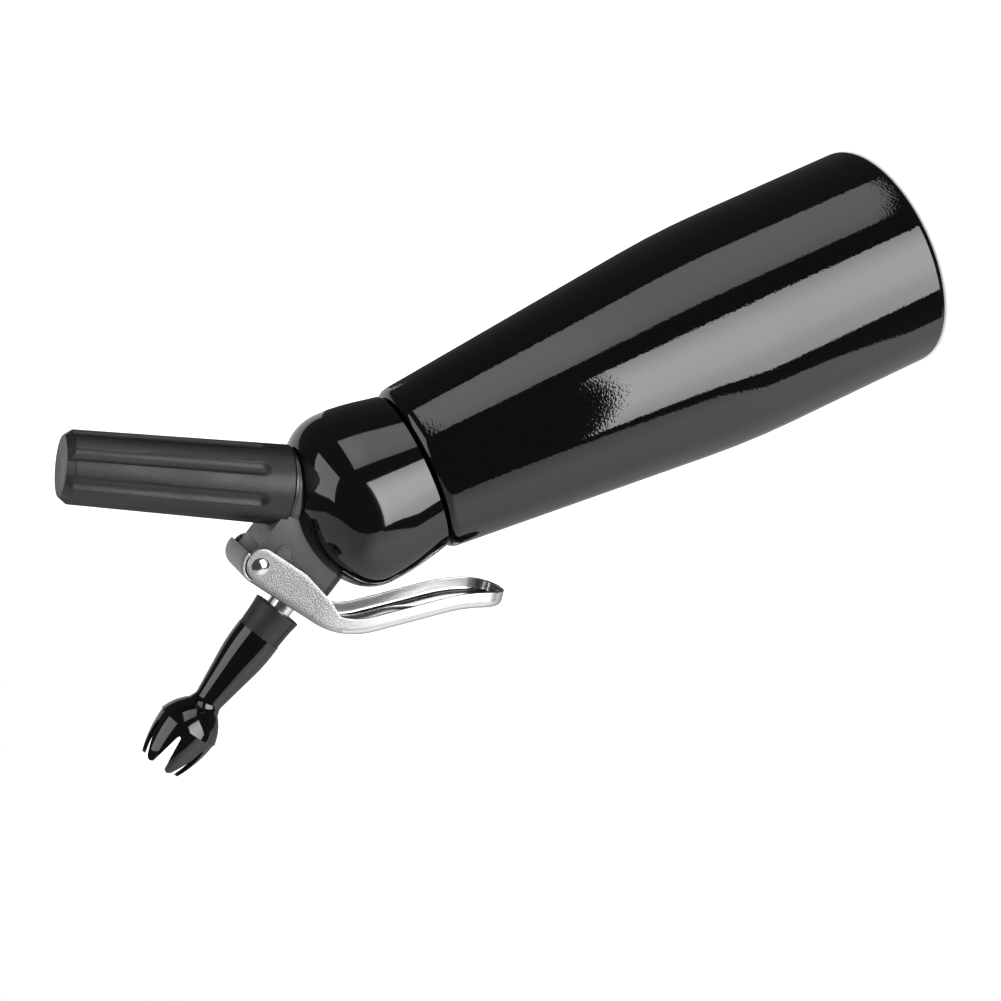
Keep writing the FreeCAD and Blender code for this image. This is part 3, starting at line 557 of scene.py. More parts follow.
# ---------------------------------------------------------------- charger side
HOLDER_ROOT = 28.55
HOLDER_BORE = 9.35
BORE_END = 96.35
BORE_ROUND = 6
END_BEVEL = 2.6         # length of the bevel round the end
END_FACE = 9.8          # radius of the end's flat rim
INSERT_RADIUS = 11.2
INSERT_BORE = 9.85
INSERT_END = HOLDER_ROOT + 10.8
FLUTES = 8
FLUTE_START = 7.6       # from the root
FLUTE_CUTTER = 3.3
FLUTE_PHASE = math.radians(32)
PORT_RING = 12.5        # radius of the bright ring under the holder
PORT_FACE = 28.4
PORT_ROOT, PORT_CREST = 9.0, 9.8        # radii of the port's thread
PORT_END = 38.1
PORT_BORE = 4.7
PORT_SEAL_FACE = 30.6   # outer face of the seal at the end of that bore
PORT_OPEN = 6           # radius of the room left behind that face, where the frame's own pieces lie
CHARGER_RADIUS = 9.1
CHARGER_NECK = 4.2
CHARGER_MOUTH = 30.65
CHARGER_BASE = 96.15
CHARGER_NECK_LENGTH = 7.2
CHARGER_BASE_ROUND = 6
CAP_THICKNESS = 0.5     # the cap over its mouth is a piece of its own


def flute_presser(sizes):
    """Function that presses a point of the holder's outside in to the flutes.

    They are round-nosed towards the head and run out through the holder's end.
    """
    root, end, long, depth = sizes.root, sizes.end, sizes.long, sizes.flute
    cutter = FLUTE_CUTTER * MM
    start = (HOLDER_ROOT + FLUTE_START) * MM + cutter

    def press(spot):
        radius = math.hypot(spot.x, spot.y)
        off = math.remainder(math.atan2(spot.y, spot.x) - FLUTE_PHASE + math.pi / 2, FULL / FLUTES)
        axis = root + (spot.z - HOLDER_ROOT * MM) / long * (end - root) - depth + cutter
        room = cutter ** 2 - max(0, start - spot.z) ** 2 - (axis * math.sin(off)) ** 2
        if room <= 0:
            return
        floor = axis * math.cos(off) - math.sqrt(room)
        if radius > floor:
            spot.x *= floor / radius
            spot.y *= floor / radius

    return press


class DISPENSER_OT_holder(Operator):
    """Fluted charger holder with its metal insert"""
    bl_idname = "dispenser.holder"
    bl_label = "Charger holder"

    def execute(self, context):
        sizes = context.scene.dispenser_holder
        root, end, long = in_millimetres(sizes)[:3]
        tip = HOLDER_ROOT + long
        side_end = tip - END_BEVEL
        side = root + (side_end - HOLDER_ROOT) / long * (end - root)
        outline = rounded([
            (INSERT_RADIUS, HOLDER_ROOT), (root, HOLDER_ROOT, 0.5), (side, side_end, 0.7),
            (END_FACE, tip, 0.35), (END_FACE - 0.9, tip - 0.12), (4.5, tip - 0.5), (0, tip - 0.6),
            (0, BORE_END), (HOLDER_BORE, BORE_END, BORE_ROUND), (HOLDER_BORE, INSERT_END),
            (INSERT_RADIUS, INSERT_END),
        ])
        bm = bmesh.new()
        turned(bm, PORT, divided(outline, 60 * MM, 110), steps=288, shape=flute_presser(sizes))
        nylon = matte_moulding(context.scene.dispenser_colours)
        add_piece(bm, "charger_holder_grip", "holder", [nylon], "charger_holder",
                  crease=math.radians(40))
        sleeve = [(INSERT_BORE, HOLDER_ROOT), (INSERT_RADIUS, HOLDER_ROOT), (INSERT_RADIUS, INSERT_END),
                  (INSERT_BORE, INSERT_END)]
        bm = bmesh.new()
        turned(bm, PORT, rounded(sleeve))
        add_piece(bm, "holder_sleeve", "holder", [turned_aluminium()], "holder_insert")
        return {"FINISHED"}


class DISPENSER_OT_charger(Operator):
    """Port with its bright ring, and the charger"""
    bl_idname = "dispenser.charger"
    bl_label = "Charger and port"

    def execute(self, context):
        outline = [
            (PORT_OPEN, BOSS_END - 0.6), (PORT_RING, BOSS_END), (PORT_RING, PORT_FACE, 0.25),
            (PORT_ROOT, PORT_FACE),
            *thread(PORT_ROOT, PORT_CREST, first=PORT_FACE + 2.0, pitch=2.3, turns=3, land=0.3),
            (PORT_ROOT, PORT_END - 0.4), (PORT_ROOT - 0.4, PORT_END), (PORT_BORE, PORT_END),
            (PORT_BORE, PORT_SEAL_FACE), (PORT_OPEN, PORT_SEAL_FACE),
        ]
        bm = bmesh.new()
        turned(bm, PORT, rounded(outline))
        # the port's nickel is painted dark, as shade on its ring
        add_piece(bm, "port_fitting", "head", [nickel_painted_shade()], "charger_port")
        self.add_flask()
        return {"FINISHED"}

    def add_flask(self):
        """Charger with a short neck, a round shoulder and a rounded base."""
        lean = math.acos(CHARGER_NECK / CHARGER_RADIUS)
        ball = CHARGER_MOUTH + CHARGER_NECK_LENGTH + math.sqrt(CHARGER_RADIUS ** 2 - CHARGER_NECK ** 2)
        points = rounded([(0, CHARGER_MOUTH + CAP_THICKNESS), (CHARGER_NECK, CHARGER_MOUTH + CAP_THICKNESS)])
        points += arc(0, ball, CHARGER_RADIUS, -math.degrees(lean), 0)
        points += arc(CHARGER_RADIUS - CHARGER_BASE_ROUND, CHARGER_BASE - CHARGER_BASE_ROUND,
                      CHARGER_BASE_ROUND, 0, 90)
        points += rounded([(0, CHARGER_BASE)])
        bm = bmesh.new()
        turned(bm, PORT, points)
        add_piece(bm, "charger_flask", "charger", [zinc_plate()], "charger")


# ---------------------------------------------------------------- valve
STEM_RADIUS = 4.5
STEM_END = 59.4
STEM_BORE = 2
STEM_NECK = 3           # radius between the inner flange and the part that slides
STEM_OUTLINE = [
    (0, 4.85), (6.6, 4.85, 0.5), (6.6, 6.65, 0.2), (STEM_NECK, 6.65), (STEM_NECK, 15.9), (STEM_RADIUS, 17.4),
    (STEM_RADIUS, STEM_END, 0.8), (STEM_BORE, STEM_END, 0.3), (STEM_BORE, 8), (0, 8),
]
COLLAR_RADIUS = 7
COLLAR_ROUND = 0.4
SPRING_SEAT = 27.4
SPRING_RADIUS = 5.3     # to the middle of its wire
SPRING_TURNS = 6
SPRING_TURN_STEPS = 40
WIRE_RADIUS = 0.5


class DISPENSER_OT_valve(Operator):
    """Valve stem with its collar, and the spring under the collar"""
    bl_idname = "dispenser.valve"
    bl_label = "Valve"

    def execute(self, context):
        steel = turned_steel(context.scene.dispenser_colours)
        bm = bmesh.new()
        turned(bm, VALVE, rounded(STEM_OUTLINE), steps=64)
        add_piece(bm, "stem_tube", "stem", [steel], "valve_stem")
        low, high = self.collar_span()
        collar = [(STEM_RADIUS, low), (COLLAR_RADIUS, low, COLLAR_ROUND), (COLLAR_RADIUS, high, COLLAR_ROUND),
                  (STEM_RADIUS, high)]
        bm = bmesh.new()
        turned(bm, VALVE, rounded(collar), steps=64)
        add_piece(bm, "stem_flange", "stem", [steel], "stem_collar")
        self.add_spring(steel, low)
        return {"FINISHED"}

    def collar_span(self):
        """Lower and upper face of the collar along the valve's axis, in millimetres."""
        local = VALVE.inverted()
        places = [(local @ v.co).z / MM for v in frame["nodes"]["stem_collar"].data.vertices]
        return min(places), max(places)

    def add_spring(self, steel, top):
        """Coil spring between its seat and the collar."""
        bm = bmesh.new()
        ring = bmesh.ops.create_circle(bm, cap_ends=True, segments=12, radius=WIRE_RADIUS * MM)["verts"]
        start = moved(Matrix(), SPRING_RADIUS, 0, SPRING_SEAT + WIRE_RADIUS)
        bmesh.ops.transform(bm, matrix=start @ Matrix.Rotation(math.pi / 2, 4, "X"), verts=ring)
        steps = SPRING_TURNS * SPRING_TURN_STEPS
        rise = (top - SPRING_SEAT - 2 * WIRE_RADIUS) / steps * MM
        bmesh.ops.spin(bm, geom=ring + list(bm.edges) + list(bm.faces), cent=(0, 0, 0), axis=(0, 0, 1),
                       dvec=(0, 0, rise), angle=SPRING_TURNS * FULL, steps=steps, use_merge=False,
                       use_normal_flip=False, use_duplicate=False)
        bmesh.ops.transform(bm, matrix=VALVE, verts=bm.verts)
        spring = add_piece(bm, "coil_spring", "head", [steel], "valve_spring")
        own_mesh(spring)


# ---------------------------------------------------------------- lever
NOSE = 6.15             # outside of the curl round the pin
CURL = math.radians(105)
BEND_START = 38.9       # along the web, from over the pin to the corner of the bend
BEND_TURN = math.radians(46.1)
BEND_ROUND = 28
FLARE_START = 47.8      # from that corner to the corner of the flare
FLARE_TURN = math.radians(22)
FLARE_ROUND = 55
TIP_LENGTH = 11.8
TIP_ROUND = 9.5         # rounding of the handle's end, seen in plan
PLATE_NOSE = 4.7        # front of the side plates, about the pin
PLATE_DROP = 5.9        # from the pin to the plates' free edge
PLATE_EDGE = [(4.7, -PLATE_DROP), (-14.7, -PLATE_DROP), (-27.2, -3.0)]      # that edge, seen from the side
PLATE_CORNER = -36.0    # where that edge meets the handle's rim
PLATE_ROUND = 4.5       # lower front corner of the plates
PLATE_ANGLES = (2, 12, 24, 38, 54, 70, 82)      # degrees about the pin, stations round the plates' front
RIB_HALF = 2.9
RIB_TOP = 1.1           # half the width of its flat top
RIB_SPAN = (26.4, 78.6)         # along the web
RIB_EASES = (4, 24)     # lengths over which the two ends rise
HOLE_RADIUS = 5.6       # the stem's hole in the web
HOLE_REACH = 0.55       # points nearer than this to its rim move onto it
WEB_FOLD = 1.45         # outside radius of the fold between web and plates
HANDLE_FOLD = 2.6       # the same along the handle
FOLD_SPAN = (30, 44)    # along the web, where one widens to the other
WEB_COLUMNS = [0, 0.8, 1.2, 1.5, 1.8, 2.1, 2.4, 2.7, 3.1, 3.8, 5, 6.5, 8]       # from the middle
FOLD_STEPS = 5
WALL_STEPS = 7
SIDE_STEPS = 76         # along each straight side
TIP_STEPS = 12          # round each corner of the handle's end
POLISHED_FROM = -37     # beyond this the web is polished
CUT_ROUND = 0.18        # eased edge of the cut sheet


def web_runs():
    """Straight and curved runs of the web's outside: (length, turn) in millimetres and radians."""
    bend_reach = BEND_ROUND * math.tan(BEND_TURN / 2)
    flare_reach = FLARE_ROUND * math.tan(FLARE_TURN / 2)
    return [
        (BEND_START - bend_reach, 0), (BEND_ROUND * BEND_TURN, BEND_TURN),
        (FLARE_START - bend_reach - flare_reach, 0), (FLARE_ROUND * FLARE_TURN, -FLARE_TURN),
        (TIP_LENGTH - flare_reach, 0),
    ]


WEB_RUNS = web_runs()
WEB_LENGTH = sum(run[0] for run in WEB_RUNS)


def web_point(along, inward):
    """Point of the lever frame's XZ plane that lies along the web's outside and moved inward from it."""
    spot, heading, left = Vector((0, NOSE)), math.pi, along
    for number, (span, turn) in enumerate(WEB_RUNS):
        part = left if left < span or number == len(WEB_RUNS) - 1 else span
        share = part / span * turn
        if abs(share) > MERGE:
            radius = span / turn
            spot += radius * Vector((math.sin(heading + share) - math.sin(heading),
                                     math.cos(heading) - math.cos(heading + share)))
        else:
            spot += part * Vector((math.cos(heading), math.sin(heading)))
        heading += share
        left -= part
        if left <= 0:
            break
    return spot + inward * Vector((-math.sin(heading), math.cos(heading)))


def wall_depth(along, rim):
    """Depth of the walls under the web's outside: the plates' edge near the pin, the rim along the handle."""
    corner_rim = web_point(sum(run[0] for run in WEB_RUNS[:3]), rim)
    corner = (PLATE_CORNER, corner_rim.y + (PLATE_CORNER - corner_rim.x) * math.tan(BEND_TURN))
    start = web_point(along, 0)
    ray = web_point(along, 20) - start
    edge = PLATE_EDGE + [corner]
    for first, last in zip(edge, edge[1:]):
        run = Vector(last) - Vector(first)
        cross = run.cross(ray)
        if abs(cross) < MERGE:
            continue
        share = (start - Vector(first)).cross(ray) / cross
        if -0.001 <= share <= 1.001:
            return max((Vector(first) + run * share - start).length, rim)
    return rim


def eased(share):
    """Smooth step from 0 to 1."""
    share = min(1, max(0, share))
    return share * share * (3 - 2 * share)


class DISPENSER_OT_lever(Operator):
    """Stamped lever: web, side plates, curl round the pin, pressed rib and scooped handle"""
    bl_idname = "dispenser.lever"
    bl_label = "Lever"

    def execute(self, context):
        colours = context.scene.dispenser_colours
        half, sheet, rim, rib = in_millimetres(context.scene.dispenser_lever)
        bm = bmesh.new()
        for part in (self.make_channel(half, rim, rib), self.make_curl(half)):
            carry(part, bm, LEVER @ Matrix.Scale(MM, 4))
        # the tumbled finish carries the side plates' painted shade
        finishes = [tumbled_painted_shade_steel(colours), polished_steel(colours)]
        lever = add_piece(bm, "lever_sheet", "lever", finishes, "lever")
        self.polish_handle(lever.data)
        self.thicken(lever, sheet)
        return {"FINISHED"}

    def make_channel(self, half, rim, rib):
        """Web, folds and walls as one sheet, laid out on a grid and carried onto the lever's line."""
        line = self.rim_line(half)
        corner = len(WEB_COLUMNS) + FOLD_STEPS      # column where the folds end and the walls start
        columns = corner + 1 + WALL_STEPS
        bm = bmesh.new()
        bmesh.ops.create_grid(bm, x_segments=len(line) - 1, y_segments=columns - 1, size=1)
        gone = []
        for vert in bm.verts:
            row, column = grid_place(vert, len(line), columns)
            spine, edge, outward, front = line[row]
            widening = (edge.x - FOLD_SPAN[0]) / (FOLD_SPAN[1] - FOLD_SPAN[0])
            fold = WEB_FOLD + (HANDLE_FOLD - WEB_FOLD) * min(1, max(0, widening))
            inner = edge - outward * fold
            flat = edge
            if front and column < corner:
                gone.append(vert)
                continue
            if column < len(WEB_COLUMNS):
                flat = spine + (inner - spine) * min(1, WEB_COLUMNS[column] / (half - fold))
                depth = self.rib_rise(flat, rib)
                flat, inside = self.round_hole(flat)
                if inside:
                    gone.append(vert)
                    continue
            elif column <= corner and not front:
                angle = (column - len(WEB_COLUMNS)) / FOLD_STEPS * math.pi / 2
                flat = inner + outward * fold * math.sin(angle)
                depth = fold * (1 - math.cos(angle))
            else:
                top, free = front or (fold, wall_depth(edge.x, rim))
                depth = top + (free - top) * ((column - corner) / WALL_STEPS)
            spot = Vector((-flat.x, NOSE - depth)) if front else web_point(flat.x, depth)
            vert.co = (spot.x, flat.y, spot.y)
        bmesh.ops.delete(bm, geom=gone, context="VERTS")
        bmesh.ops.remove_doubles(bm, verts=bm.verts, dist=0.01)
        return bm

    def round_hole(self, flat):
        """A place on the web's plan, moved onto the rim of the stem's hole if near it, and if it's inside."""
        centre = LEVER.inverted() @ VALVE @ Vector((0, 0, (PIN_PLACE[1] + NOSE) * MM)) / MM
        away = flat - Vector((-centre.x, 0))
        if away.length < HOLE_RADIUS - HOLE_REACH:
            return flat, True
        if away.length < HOLE_RADIUS + HOLE_REACH:
            flat = flat - away + away.normalized() * HOLE_RADIUS
        return flat, False

    def rim_line(self, half):
        """Stations round the lever's plan: (spine point, edge point, outward direction, front).

        front is the depth of the wall's top and bottom at the stations before the pin, and None elsewhere.
        """
        straight = WEB_LENGTH - half
        side = Vector((0, 1))
        upper = []
        for angle in PLATE_ANGLES:
            x = -PLATE_NOSE * math.cos(math.radians(angle))
            upper.append((Vector((x, 0)), Vector((x, half)), side, self.plate_front(x)))
        for k in range(SIDE_STEPS + 1):
            x = straight * k / SIDE_STEPS
            upper.append((Vector((x, 0)), Vector((x, half)), side, None))
        fan = Vector((straight, 0))
        centre = Vector((WEB_LENGTH - TIP_ROUND, half - TIP_ROUND))
        for x in ((straight + centre.x) / 2, centre.x):
            upper.append((fan, Vector((x, half)), side, None))
        for k in range(1, TIP_STEPS + 1):
            angle = math.pi / 2 * k / TIP_STEPS
            outward = Vector((math.sin(angle), math.cos(angle)))
            upper.append((fan, centre + outward * TIP_ROUND, outward, None))
        mirror = Vector((1, -1))
        lower = [(*(point * mirror for point in station[:3]), station[3]) for station in upper]
        return upper + lower[::-1]

    def plate_front(self, x):
        """Depth of the top and bottom of the plates' rounded front at a place before the pin."""
        lift = max(0, PLATE_ROUND - (PLATE_NOSE + x))
        rise = PLATE_ROUND - math.sqrt(PLATE_ROUND ** 2 - lift ** 2)
        return NOSE - math.sqrt(max(0, PLATE_NOSE ** 2 - x ** 2)), NOSE + PLATE_DROP - rise

    def rib_rise(self, flat, height):
        """Inward rise of the pressed rib at a place on the web."""
        across = 1 - (abs(flat.y) - RIB_TOP) / (RIB_HALF - RIB_TOP)
        first, last = (flat.x - RIB_SPAN[0]) / RIB_EASES[0], (RIB_SPAN[1] - flat.x) / RIB_EASES[1]
        return height * eased(across) * eased(first) * eased(last)

    def make_curl(self, half):
        """Front end of the web, rolled round the noses of the side plates."""
        bm = bmesh.new()
        bmesh.ops.create_grid(bm, x_segments=20, y_segments=8, size=1)
        for vert in bm.verts:
            angle = math.pi / 2 - (vert.co.x + 1) / 2 * CURL
            vert.co = (NOSE * math.cos(angle), vert.co.y * half, NOSE * math.sin(angle))
        return bm

    def polish_handle(self, mesh):
        """Gives the handle's web the polished finish, and leaves its walls tumbled."""
        local = LEVER.inverted()
        for polygon in mesh.polygons:
            far = (local @ polygon.center).x / MM < POLISHED_FROM
            polygon.material_index = 1 if far and abs(polygon.normal.y) < 0.9 else 0

    def thicken(self, lever, sheet):
        """Gives the sheet its thickness inwards, and eases its cut edges."""
        solid = lever.modifiers.new("Sheet", "SOLIDIFY")
        solid.thickness = sheet * MM
        solid.offset = -1
        solid.use_even_offset = True
        edge = lever.modifiers.new("Cut edges", "BEVEL")
        edge.width = CUT_ROUND * MM
        edge.segments = 2
        edge.limit_method = "ANGLE"
        edge.angle_limit = math.radians(50)


# ---------------------------------------------------------------- pin
SHAFT_RADIUS = 2.2
PIN_HEAD_RADIUS = 2.9
PIN_HEAD_RIM = 0.2      # straight rim under the dome
PIN_HEAD_RISE = 1.1     # of the whole head over the side plate


class DISPENSER_OT_pin(Operator):
    """Lever pin with a domed head on each side"""
    bl_idname = "dispenser.pin"
    bl_label = "Lever pin"

    def execute(self, context):
        half = context.scene.dispenser_lever.half / MM
        bm = bmesh.new()
        place = LEVER @ Matrix.Rotation(math.pi / 2, 4, "X")
        shaft = rounded([(0, -half), (SHAFT_RADIUS, -half), (SHAFT_RADIUS, half), (0, half)])
        turned(bm, place, shaft, steps=64)
        rise = PIN_HEAD_RISE - PIN_HEAD_RIM
        ball = (rise ** 2 + PIN_HEAD_RADIUS ** 2) / (2 * rise)
        edge = math.degrees(math.asin(PIN_HEAD_RADIUS / ball))
        dome = rounded([(0, half), (PIN_HEAD_RADIUS, half)])
        dome += arc(0, half + PIN_HEAD_RISE - ball, ball, 90 - edge, 90, 12)
        for side in (0, 1):
            turned(bm, place @ Matrix.Rotation(side * math.pi, 4, "X"), dome, steps=64)
        finish = polished_steel(context.scene.dispenser_colours, "burnished_pin_steel", 0.14)
        add_piece(bm, "pin_rivet", "lever", [finish], "lever_pin")
        return {"FINISHED"}


# ---------------------------------------------------------------- nozzle
NOZZLE_START = 48.65
NOZZLE_STEPS = 144      # round the collar and the body
SOCKET_RADIUS = 4.55    # round the stem
SOCKET_END = 11.4
NOZZLE_BORE = 2.6
COLLAR_LENGTH = 10.1
SLIT_ANGLE = math.radians(-35)
SLIT_DEPTH = 0.35
SLIT_START = 0.8        # from the collar's rim
SLIT_EDGE = 0.6         # place of its edges from its middle, in columns of points
COLLAR_INSIDE = 7       # points nearer to the axis are the bore's
BODY_RADIUS = 7.9
NECK_PLACE = 37.4
TULIP_START = 39.7
TULIP_PLACE = 47.9      # its widest part, with the parting ridge
GAP_START = 51.0
GAP_HALF = 0.6          # half the gap's width at its round root
TIP_PLACE = 63.3
TIP_HALF = 1.1          # half the width of a prong's end
TIP_ROUND_LENGTH = 1.3
TIP_BLUNT = 0.96        # 1 would bring the sides of a prong's end together in a full round
PRONGS = 6
PRONG_PHASE = math.radians(22)
PRONG_WALL = 1.3
PRONG_STEPS = 20        # across each


def bulge(first, middle, last, steps=20):
    """Outline points on the circle through three points."""
    a, b, c = Vector(first), Vector(middle), Vector(last)
    aa, bb, cc = a.length_squared, b.length_squared, c.length_squared
    d = 2 * (a.x * (b.y - c.y) + b.x * (c.y - a.y) + c.x * (a.y - b.y))
    centre = Vector(((aa * (b.y - c.y) + bb * (c.y - a.y) + cc * (a.y - b.y)) / d,
                     (aa * (c.x - b.x) + bb * (a.x - c.x) + cc * (b.x - a.x)) / d))
    start = a - centre
    whole = (c - centre).angle_signed(start)
    return [(centre + Matrix.Rotation(whole * k / steps, 2) @ start) * MM for k in range(steps + 1)]


class DISPENSER_OT_nozzle(Operator):
    """Moulded nozzle: matte collar, glossy body and a tulip with six prongs"""
    bl_idname = "dispenser.nozzle"
    bl_label = "Nozzle"

    def execute(self, context):
        collar, neck, tulip, tip = in_millimetres(context.scene.dispenser_nozzle)
        place = moved(VALVE, 0, 0, NOZZLE_START)
        bm = bmesh.new()
        body = self.body_outline(collar, neck, tulip)
        turned(bm, place, body, steps=NOZZLE_STEPS, shape=self.press_slit)
        self.add_prongs(bm, place, tulip, tip)
        local = place.inverted()
        for face in bm.faces:
            level = (local @ face.calc_center_median()).z / MM
            face.material_index = 1 if level < COLLAR_LENGTH - 0.02 else 0
        colours = context.scene.dispenser_colours
        finishes = [gloss_moulding(colours, "moulded_gloss_polypropylene"),
                    matte_moulding(colours, "matte_moulded_polypropylene", 0.5)]
        add_piece(bm, "nozzle_tulip", "nozzle", finishes, "nozzle")
        return {"FINISHED"}

    def press_slit(self, spot):
        """Moves two columns of the collar's points in, and those beside them close up, as a fine slit."""
        radius = math.hypot(spot.x, spot.y)
        if radius < COLLAR_INSIDE * MM or not SLIT_START * MM < spot.z < COLLAR_LENGTH * MM:
            return
        step = FULL / NOZZLE_STEPS
        middle = (round((SLIT_ANGLE - math.pi / 2) / step) + 0.5) * step
        angle = math.atan2(spot.y, spot.x)
        off = math.remainder(angle - middle, FULL) / step
        if abs(off) > 2:
            return
        if abs(off) < 1:
            radius -= SLIT_DEPTH * MM
        else:
            angle = middle + math.copysign(SLIT_EDGE * step, off)
        spot.x, spot.y = radius * math.cos(angle), radius * math.sin(angle)

    def body_outline(self, collar, neck, tulip):
        """Outline from the collar's rim to the parting ridge and back through the bore."""
        start = (neck + 0.9, TULIP_START)
        points = rounded([
            (SOCKET_RADIUS, 0), (collar, 0, 0.3), (collar - 0.1, 0.7), (collar - 0.12, 0.9), (7.85, 4.5, 40),
            (7.65, COLLAR_LENGTH, 0.1), (BODY_RADIUS, COLLAR_LENGTH), (BODY_RADIUS, 17.4, 55),
            (neck, NECK_PLACE, 3), start,
        ])[:-1]
        points += bulge(start, (9.0, 43.7), (tulip, TULIP_PLACE))
        points += rounded([(tulip - 1.6, TULIP_PLACE), (tulip - 1.6, TULIP_PLACE - 0.5)])
        points += bulge((tulip - 1.9, TULIP_PLACE - 1.0), (6.8, 44.4), (NOZZLE_BORE, 40.6))
        points += rounded([(NOZZLE_BORE, SOCKET_END + 1.5), (SOCKET_RADIUS, SOCKET_END)])
        return points

    def add_prongs(self, bm, place, tulip, tip):
        """Lower half of the tulip as a shell, parted into prongs by widening gaps."""
        outline = bulge((tulip - 0.3, TULIP_PLACE - 0.4), (9.75, 54.8), (tip, TIP_PLACE), 44)
        sector = FULL / PRONGS
        for prong in range(PRONGS):
            part = bmesh.new()
            bmesh.ops.create_grid(part, x_segments=PRONG_STEPS, y_segments=len(outline) - 1, size=1)
            for vert in part.verts:
                point = outline[grid_place(vert, PRONG_STEPS + 1, len(outline))[1]]
                angle = self.across_prong(vert.co.x, point, sector, tip)
                vert.co = (point.x * math.cos(angle), point.x * math.sin(angle), point.y)
            grown = bmesh.ops.extrude_face_region(part, geom=part.faces, use_keep_orig=True)["geom"]
            for vert in grown:
                if isinstance(vert, bmesh.types.BMVert):
                    inward = 1 - PRONG_WALL * MM / math.hypot(vert.co.x, vert.co.y)
                    vert.co.x *= inward
                    vert.co.y *= inward
            turn = Matrix.Rotation(PRONG_PHASE - math.pi / 2 + (prong + 0.5) * sector, 4, "Z")
            carry(part, bm, place @ turn)

    def across_prong(self, share, point, sector, tip):
        """Angle from the prong's middle line of a point that lies a share of the way to its edge."""
        radius, z = point.x / MM, point.y / MM
        widest = tip * math.sin(sector / 2) - TIP_HALF
        start, end = GAP_START + GAP_HALF, TIP_PLACE - TIP_ROUND_LENGTH
        if z < start:
            gap = math.sqrt(max(0, GAP_HALF ** 2 - (start - z) ** 2))
        elif z < end:
            gap = GAP_HALF + (z - start) / (end - start) * (widest - GAP_HALF)
        else:
            fall = (z - end) / TIP_ROUND_LENGTH
            gap = widest + TIP_HALF - TIP_HALF * math.sqrt(max(0, 1 - TIP_BLUNT * fall * fall))
        return share * (sector / 2 - math.asin(gap / radius))


# ---------------------------------------------------------------- frame nodes that keep their shape
class DISPENSER_OT_inner(Operator):
    """Finishes for the seals and inner pieces that keep the frame's own shapes"""
    bl_idname = "dispenser.inner"
    bl_label = "Inner pieces"

    def execute(self, context):
        self.finish_nodes(gasket_silicone(), "head_gasket")
        self.finish_nodes(seal_rubber(), "check_valve", "port_seal", "guide_ring", "stem_ring", "poppet_seal")
        self.finish_nodes(turned_steel(context.scene.dispenser_colours), "piercing_pin", "valve_guide")
        self.finish_nodes(zinc_plate(), "charger_cap")
        return {"FINISHED"}

    def finish_nodes(self, finish, *names):
        for name in names:
            mesh = frame["nodes"][name].data
            mesh.materials.clear()
            mesh.materials.append(finish)


# ---------------------------------------------------------------- stage
WHITE = (1, 1, 1, 1)
CAMERA_PLACE = Vector((207.534, -596.155, 332.748)) * MM
CAMERA_RIGHT = Vector((-0.314454, -0.371122, -0.87372))
CAMERA_UP = Vector((0.883041, 0.223411, -0.412705))
FOCAL_PIXELS = 1946.1
IMAGE_PIXELS = 1001
SENSOR = 36.0
FLOOR_SIZE = 40         # metres
FLOOR_GAP = 0.2         # under the foot
FLOOR_GLOW = 0.3
STUDIO_IN_GLOSS = 0.08  # strength of the white studio in reflections
SUN_FROM = Vector((0.5, -0.5, 1.6))
SUN_STRENGTH = 1.4
SUN_SPREAD = math.radians(50)


def front_rows():
    """Large softbox on the camera's side, low down, and bent away from it at the top.

    Its lower edge is curved, so that its reflection ends just over the bottle's foot.
    """
    levels = ((-460, -268, -360, 0.9), (-460, -130, -360, 0.89), (-460, -65, -316, 0.92),
              (-460, -10, -277, 0.91), (-460, 45, -258, 0.92), (-775, 22, -251, 1))   # y, z, left end, share
    rows = []
    for y, z, left, share in levels:
        across = ((left, 6.3, -67), (-190, 7.4, -18), (-90, 8.9, -3), (20, 9.4, 0), (90, 9.1, -2),
                  (165, 7.8, -13), (252, 6.2, -33))   # x, strength, drop of the lower edge
        wider = 1.73 if y < -460 else 1
        rows.append([(x * wider, y, z if rows else z + drop, strength * share)
                     for x, strength, drop in across])
    return rows


def right_rows():
    """Softbox to the right of the camera, its lower edge curved in the same way."""
    columns = ((459, -393, 2.0, -312), (500, -260, 2.4, -299), (550, -90, 2.4, -299),
               (591, 39, 2.1, -314))   # x, y, strength, height of the lower edge
    rows = []
    for z, share in ((None, 0.95), (0, 1), (60, 1.15), (170, 1.15)):
        rows.append([(x, y, low if z is None else z, strength * share) for x, y, strength, low in columns])
    return rows


def left_rows():
    """Bright wall to the left and behind, bent over into a ceiling."""
    wall = ((-1120, 78, 1.25), (-1038, 24, 1.25), (-963, -37, 1.3), (-777, -132, 1.45), (-509, -206, 1.6),
            (-455, -312, 1.6), (-372, -342, 1.5), (-227, -371, 1.3), (-200, -800, 1.25), (-86, -800, 1.03),
            (12, -800, 0.83), (111, -800, 0.75), (214, -800, 0.64), (326, -800, 0.57), (455, -800, 0.44),
            (700, -800, 0.41), (1250, -800, 0.38))      # y, height of the lower edge, strength
    roof = ((-1120, -690), (-476, -236), (0, -10), (600, -48), (950, -150), (1250, -200))   # y, x of its end
    rows = []
    for y, low, strength in wall:
        edge = next(a[1] + (y - a[0]) / (b[0] - a[0]) * (b[1] - a[1])
                    for a, b in zip(roof, roof[1:]) if y <= b[0])
        rows.append([(-700, y, low, strength), (-700, y, max(low + 50, 350), strength),
                     (-700, y, 850, 0.65), (-700, y, 1400, 0.7), (edge, y, 1400, 0.8)])
    return rows


